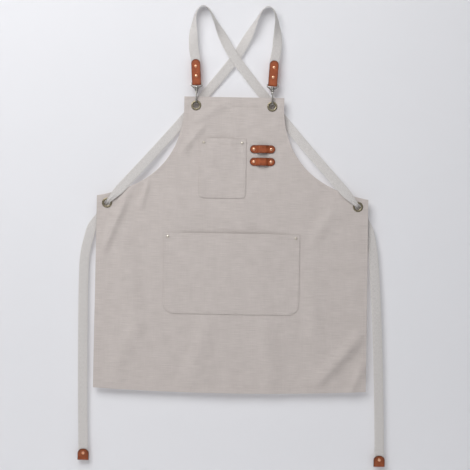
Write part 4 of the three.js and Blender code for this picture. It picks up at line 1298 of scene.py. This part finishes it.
def rivet(name, head, front, back, material):
    rise = head * 0.36
    dome = [(head * math.sin(a), rise * math.cos(a)) for a in np.radians(np.linspace(0, 72, 9))]
    front_half = [(r, front - ROLLED_RIM - y) for r, y in dome]
    front_half += [(r, y) for r, y in arc((head - ROLLED_RIM, front - ROLLED_RIM), ROLLED_RIM, -40, 90, 6)]
    back_half = [(r, back + (front - y)) for r, y in front_half][::-1]
    return spun(name, front_half + [(POST, front), (POST, back)] + back_half, material, 32)


def place_rivets(template, names, on_cloth=True):
    """On the cloth a rivet moves with the folds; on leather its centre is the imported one."""
    for name in names:
        spot = centre(name)
        if on_cloth:
            spot = Vector((spot.x, float(lay(spot.x, spot.z)), spot.z))
        stands_for(copy_piece(template, name + "_cap", Matrix.Translation(spot)), name)
    bpy.data.objects.remove(template)


small = rivet("pocket_rivet", 3.5 * MM, -1.75 * MM, CLOTH_BACK, pale_brass)
place_rivets(small, [f"{pocket}_pocket_rivet_{side}" for pocket in ("chest", "hand") for side in SIDES])
cap = rivet("keeper_rivet", RIVET_HEAD, -2.45 * MM, CLOTH_BACK, copper)
place_rivets(cap, [f"keeper_rivet_{height}_{side}" for height in ("upper", "lower") for side in SIDES])

GRIP = LEAF + LEATHER + 0.05 * MM
through = rivet("tab_rivet", RIVET_HEAD, -GRIP, GRIP, copper)
place_rivets(through, [f"{kind}_{side}{height}" for side in SIDES for kind, height in (
    ("tab_rivet", "_lower"), ("tab_rivet", "_upper"), ("tie_end_rivet", ""))], on_cloth=False)

# %% Grommets
# The eyelet's front flange is a rolled half-round. Its barrel passes through the cloth and the washer
# and is curled back over the washer behind.
FLANGE_EDGE = 13 * MM
BARREL = 8.2 * MM
CURL_BACK = 5.3 * MM
flange_round = (FLANGE_EDGE - HOLE) / 2
eyelet_profile = arc((HOLE + flange_round, -0.45 * MM), flange_round, 0, -180, 15, 0.48)
eyelet_profile += [(HOLE, 1 * MM), (HOLE, CURL_BACK - 1.2 * MM)]
eyelet_profile += arc((HOLE + 1.25 * MM, CURL_BACK - 1.0 * MM), 1.25 * MM, 180, 20, 8, 0.8)
eyelet_profile += [(BARREL + 1.9 * MM, CURL_BACK - 0.85 * MM), (BARREL, CURL_BACK - 1.0 * MM)]
eyelet_profile += [(BARREL, -0.3 * MM), (FLANGE_EDGE - 0.3 * MM, -0.3 * MM)]
eyelet = spun("eyelet", eyelet_profile + [eyelet_profile[0]], brass, 64)
washer_profile = [(BARREL + 0.3 * MM, 3.3 * MM)]
washer_profile += arc((FLANGE_EDGE - 0.4 * MM, 3.7 * MM), 0.4 * MM, -90, 90, 7)
washer_profile += [(FLANGE_EDGE - 2.2 * MM, 4.2 * MM), (BARREL + 0.3 * MM, 4.0 * MM)]
washer = spun("washer", washer_profile + [washer_profile[0]], brass, 64)
for place_name in GROMMETS:
    spot = centre(f"grommet_{place_name}")
    placing = Matrix.Translation((spot.x, 0, spot.z))
    stands_for(copy_piece(eyelet, f"eyelet_{place_name}", placing), f"grommet_{place_name}")
    stands_for(copy_piece(washer, f"washer_{place_name}", placing), f"grommet_washer_{place_name}")
print("eyelet:", len(eyelet.data.polygons), "faces; washer:", len(washer.data.polygons), "faces")
bpy.data.objects.remove(eyelet)
bpy.data.objects.remove(washer)

# %% [markdown]
# ## Snap hooks
#
# The hooks are small castings: an eye for the leather, a hook that swivels in the eye's boss, and a
# sprung gate on a pin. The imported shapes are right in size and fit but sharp, as a drawing is. Each
# piece is a merged copy with its flat triangles dissolved into faces, so that a bevel can round every
# edge as casting and tumbling do.

# %% Rounding a cast piece
def cast(node, name, body, material, edge, segments=3):
    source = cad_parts[node]
    piece = bpy.data.objects.new(name, source.data.copy())
    bpy.context.collection.objects.link(piece)
    piece.data.name = name
    piece.data.materials.clear()
    piece.data.materials.append(material)
    alone(piece)
    bpy.ops.object.mode_set(mode="EDIT")
    weld(0.00001)
    bpy.ops.mesh.dissolve_limited(angle_limit=math.radians(2))
    done()
    apply_modifier(piece, "BEVEL", width=edge, segments=segments, limit_method="ANGLE",
                   angle_limit=math.radians(34))
    soften(piece, 42)
    stands_for(piece, node, body)
    return piece


for side in SIDES:
    cast(f"swivel_eye_{side}", f"eye_{side}", f"{side}_eye", bronze, 0.5 * MM)
    cast(f"hook_body_{side}", f"hook_{side}", f"{side}_hook", bronze, 0.7 * MM)
    cast(f"gate_{side}", f"gate_{side}_cast", f"{side}_gate", bronze, 0.35 * MM)
    cast(f"gate_pin_{side}", f"pin_{side}", f"{side}_hook", steel, 0.2 * MM, 2)

# %% The gate springs
# A torsion spring is a helix of thin wire round the pin: a curve with a round bevel, made a mesh.
WIRE = 0.2 * MM
COILS = 2.2
SPRING_POINTS = 60
for side in SIDES:
    low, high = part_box(f"gate_spring_{side}")
    spot = (low + high) / 2
    radius = (high.z - low.z) / 2 - WIRE
    run = high.x - low.x - 2 * WIRE
    curve = bpy.data.curves.new(f"spring_{side}", "CURVE")
    curve.dimensions = "3D"
    curve.bevel_depth = WIRE
    curve.bevel_resolution = 3
    curve.use_fill_caps = True
    spline = curve.splines.new("POLY")
    spline.points.add(SPRING_POINTS - 1)
    for i, point in enumerate(spline.points):
        share = i / (SPRING_POINTS - 1)
        turn = COILS * math.tau * share
        point.co = (low.x + WIRE + run * share, spot.y + radius * math.cos(turn),
                    spot.z + radius * math.sin(turn), 1)
    spring = bpy.data.objects.new(f"spring_{side}", curve)
    bpy.context.collection.objects.link(spring)
    alone(spring)
    bpy.ops.object.convert(target="MESH")
    spring = bpy.context.active_object
    spring.data.materials.append(steel)
    soften(spring, 60)
    stands_for(spring, f"gate_spring_{side}", f"{side}_hook")
    print(spring.name, len(spring.data.polygons), "faces")

# %% Cords and sheets
outline = np.concatenate([
    [(0, BIB_TOP), (BIB_HALF, BIB_TOP)],
    np.stack([arm_x, arm_z], 1),
    [(x, float(hem_z(x))) for x in np.linspace(HEM.x, 0, 12)],
])
x, z = outline[:, 0], outline[:, 1]
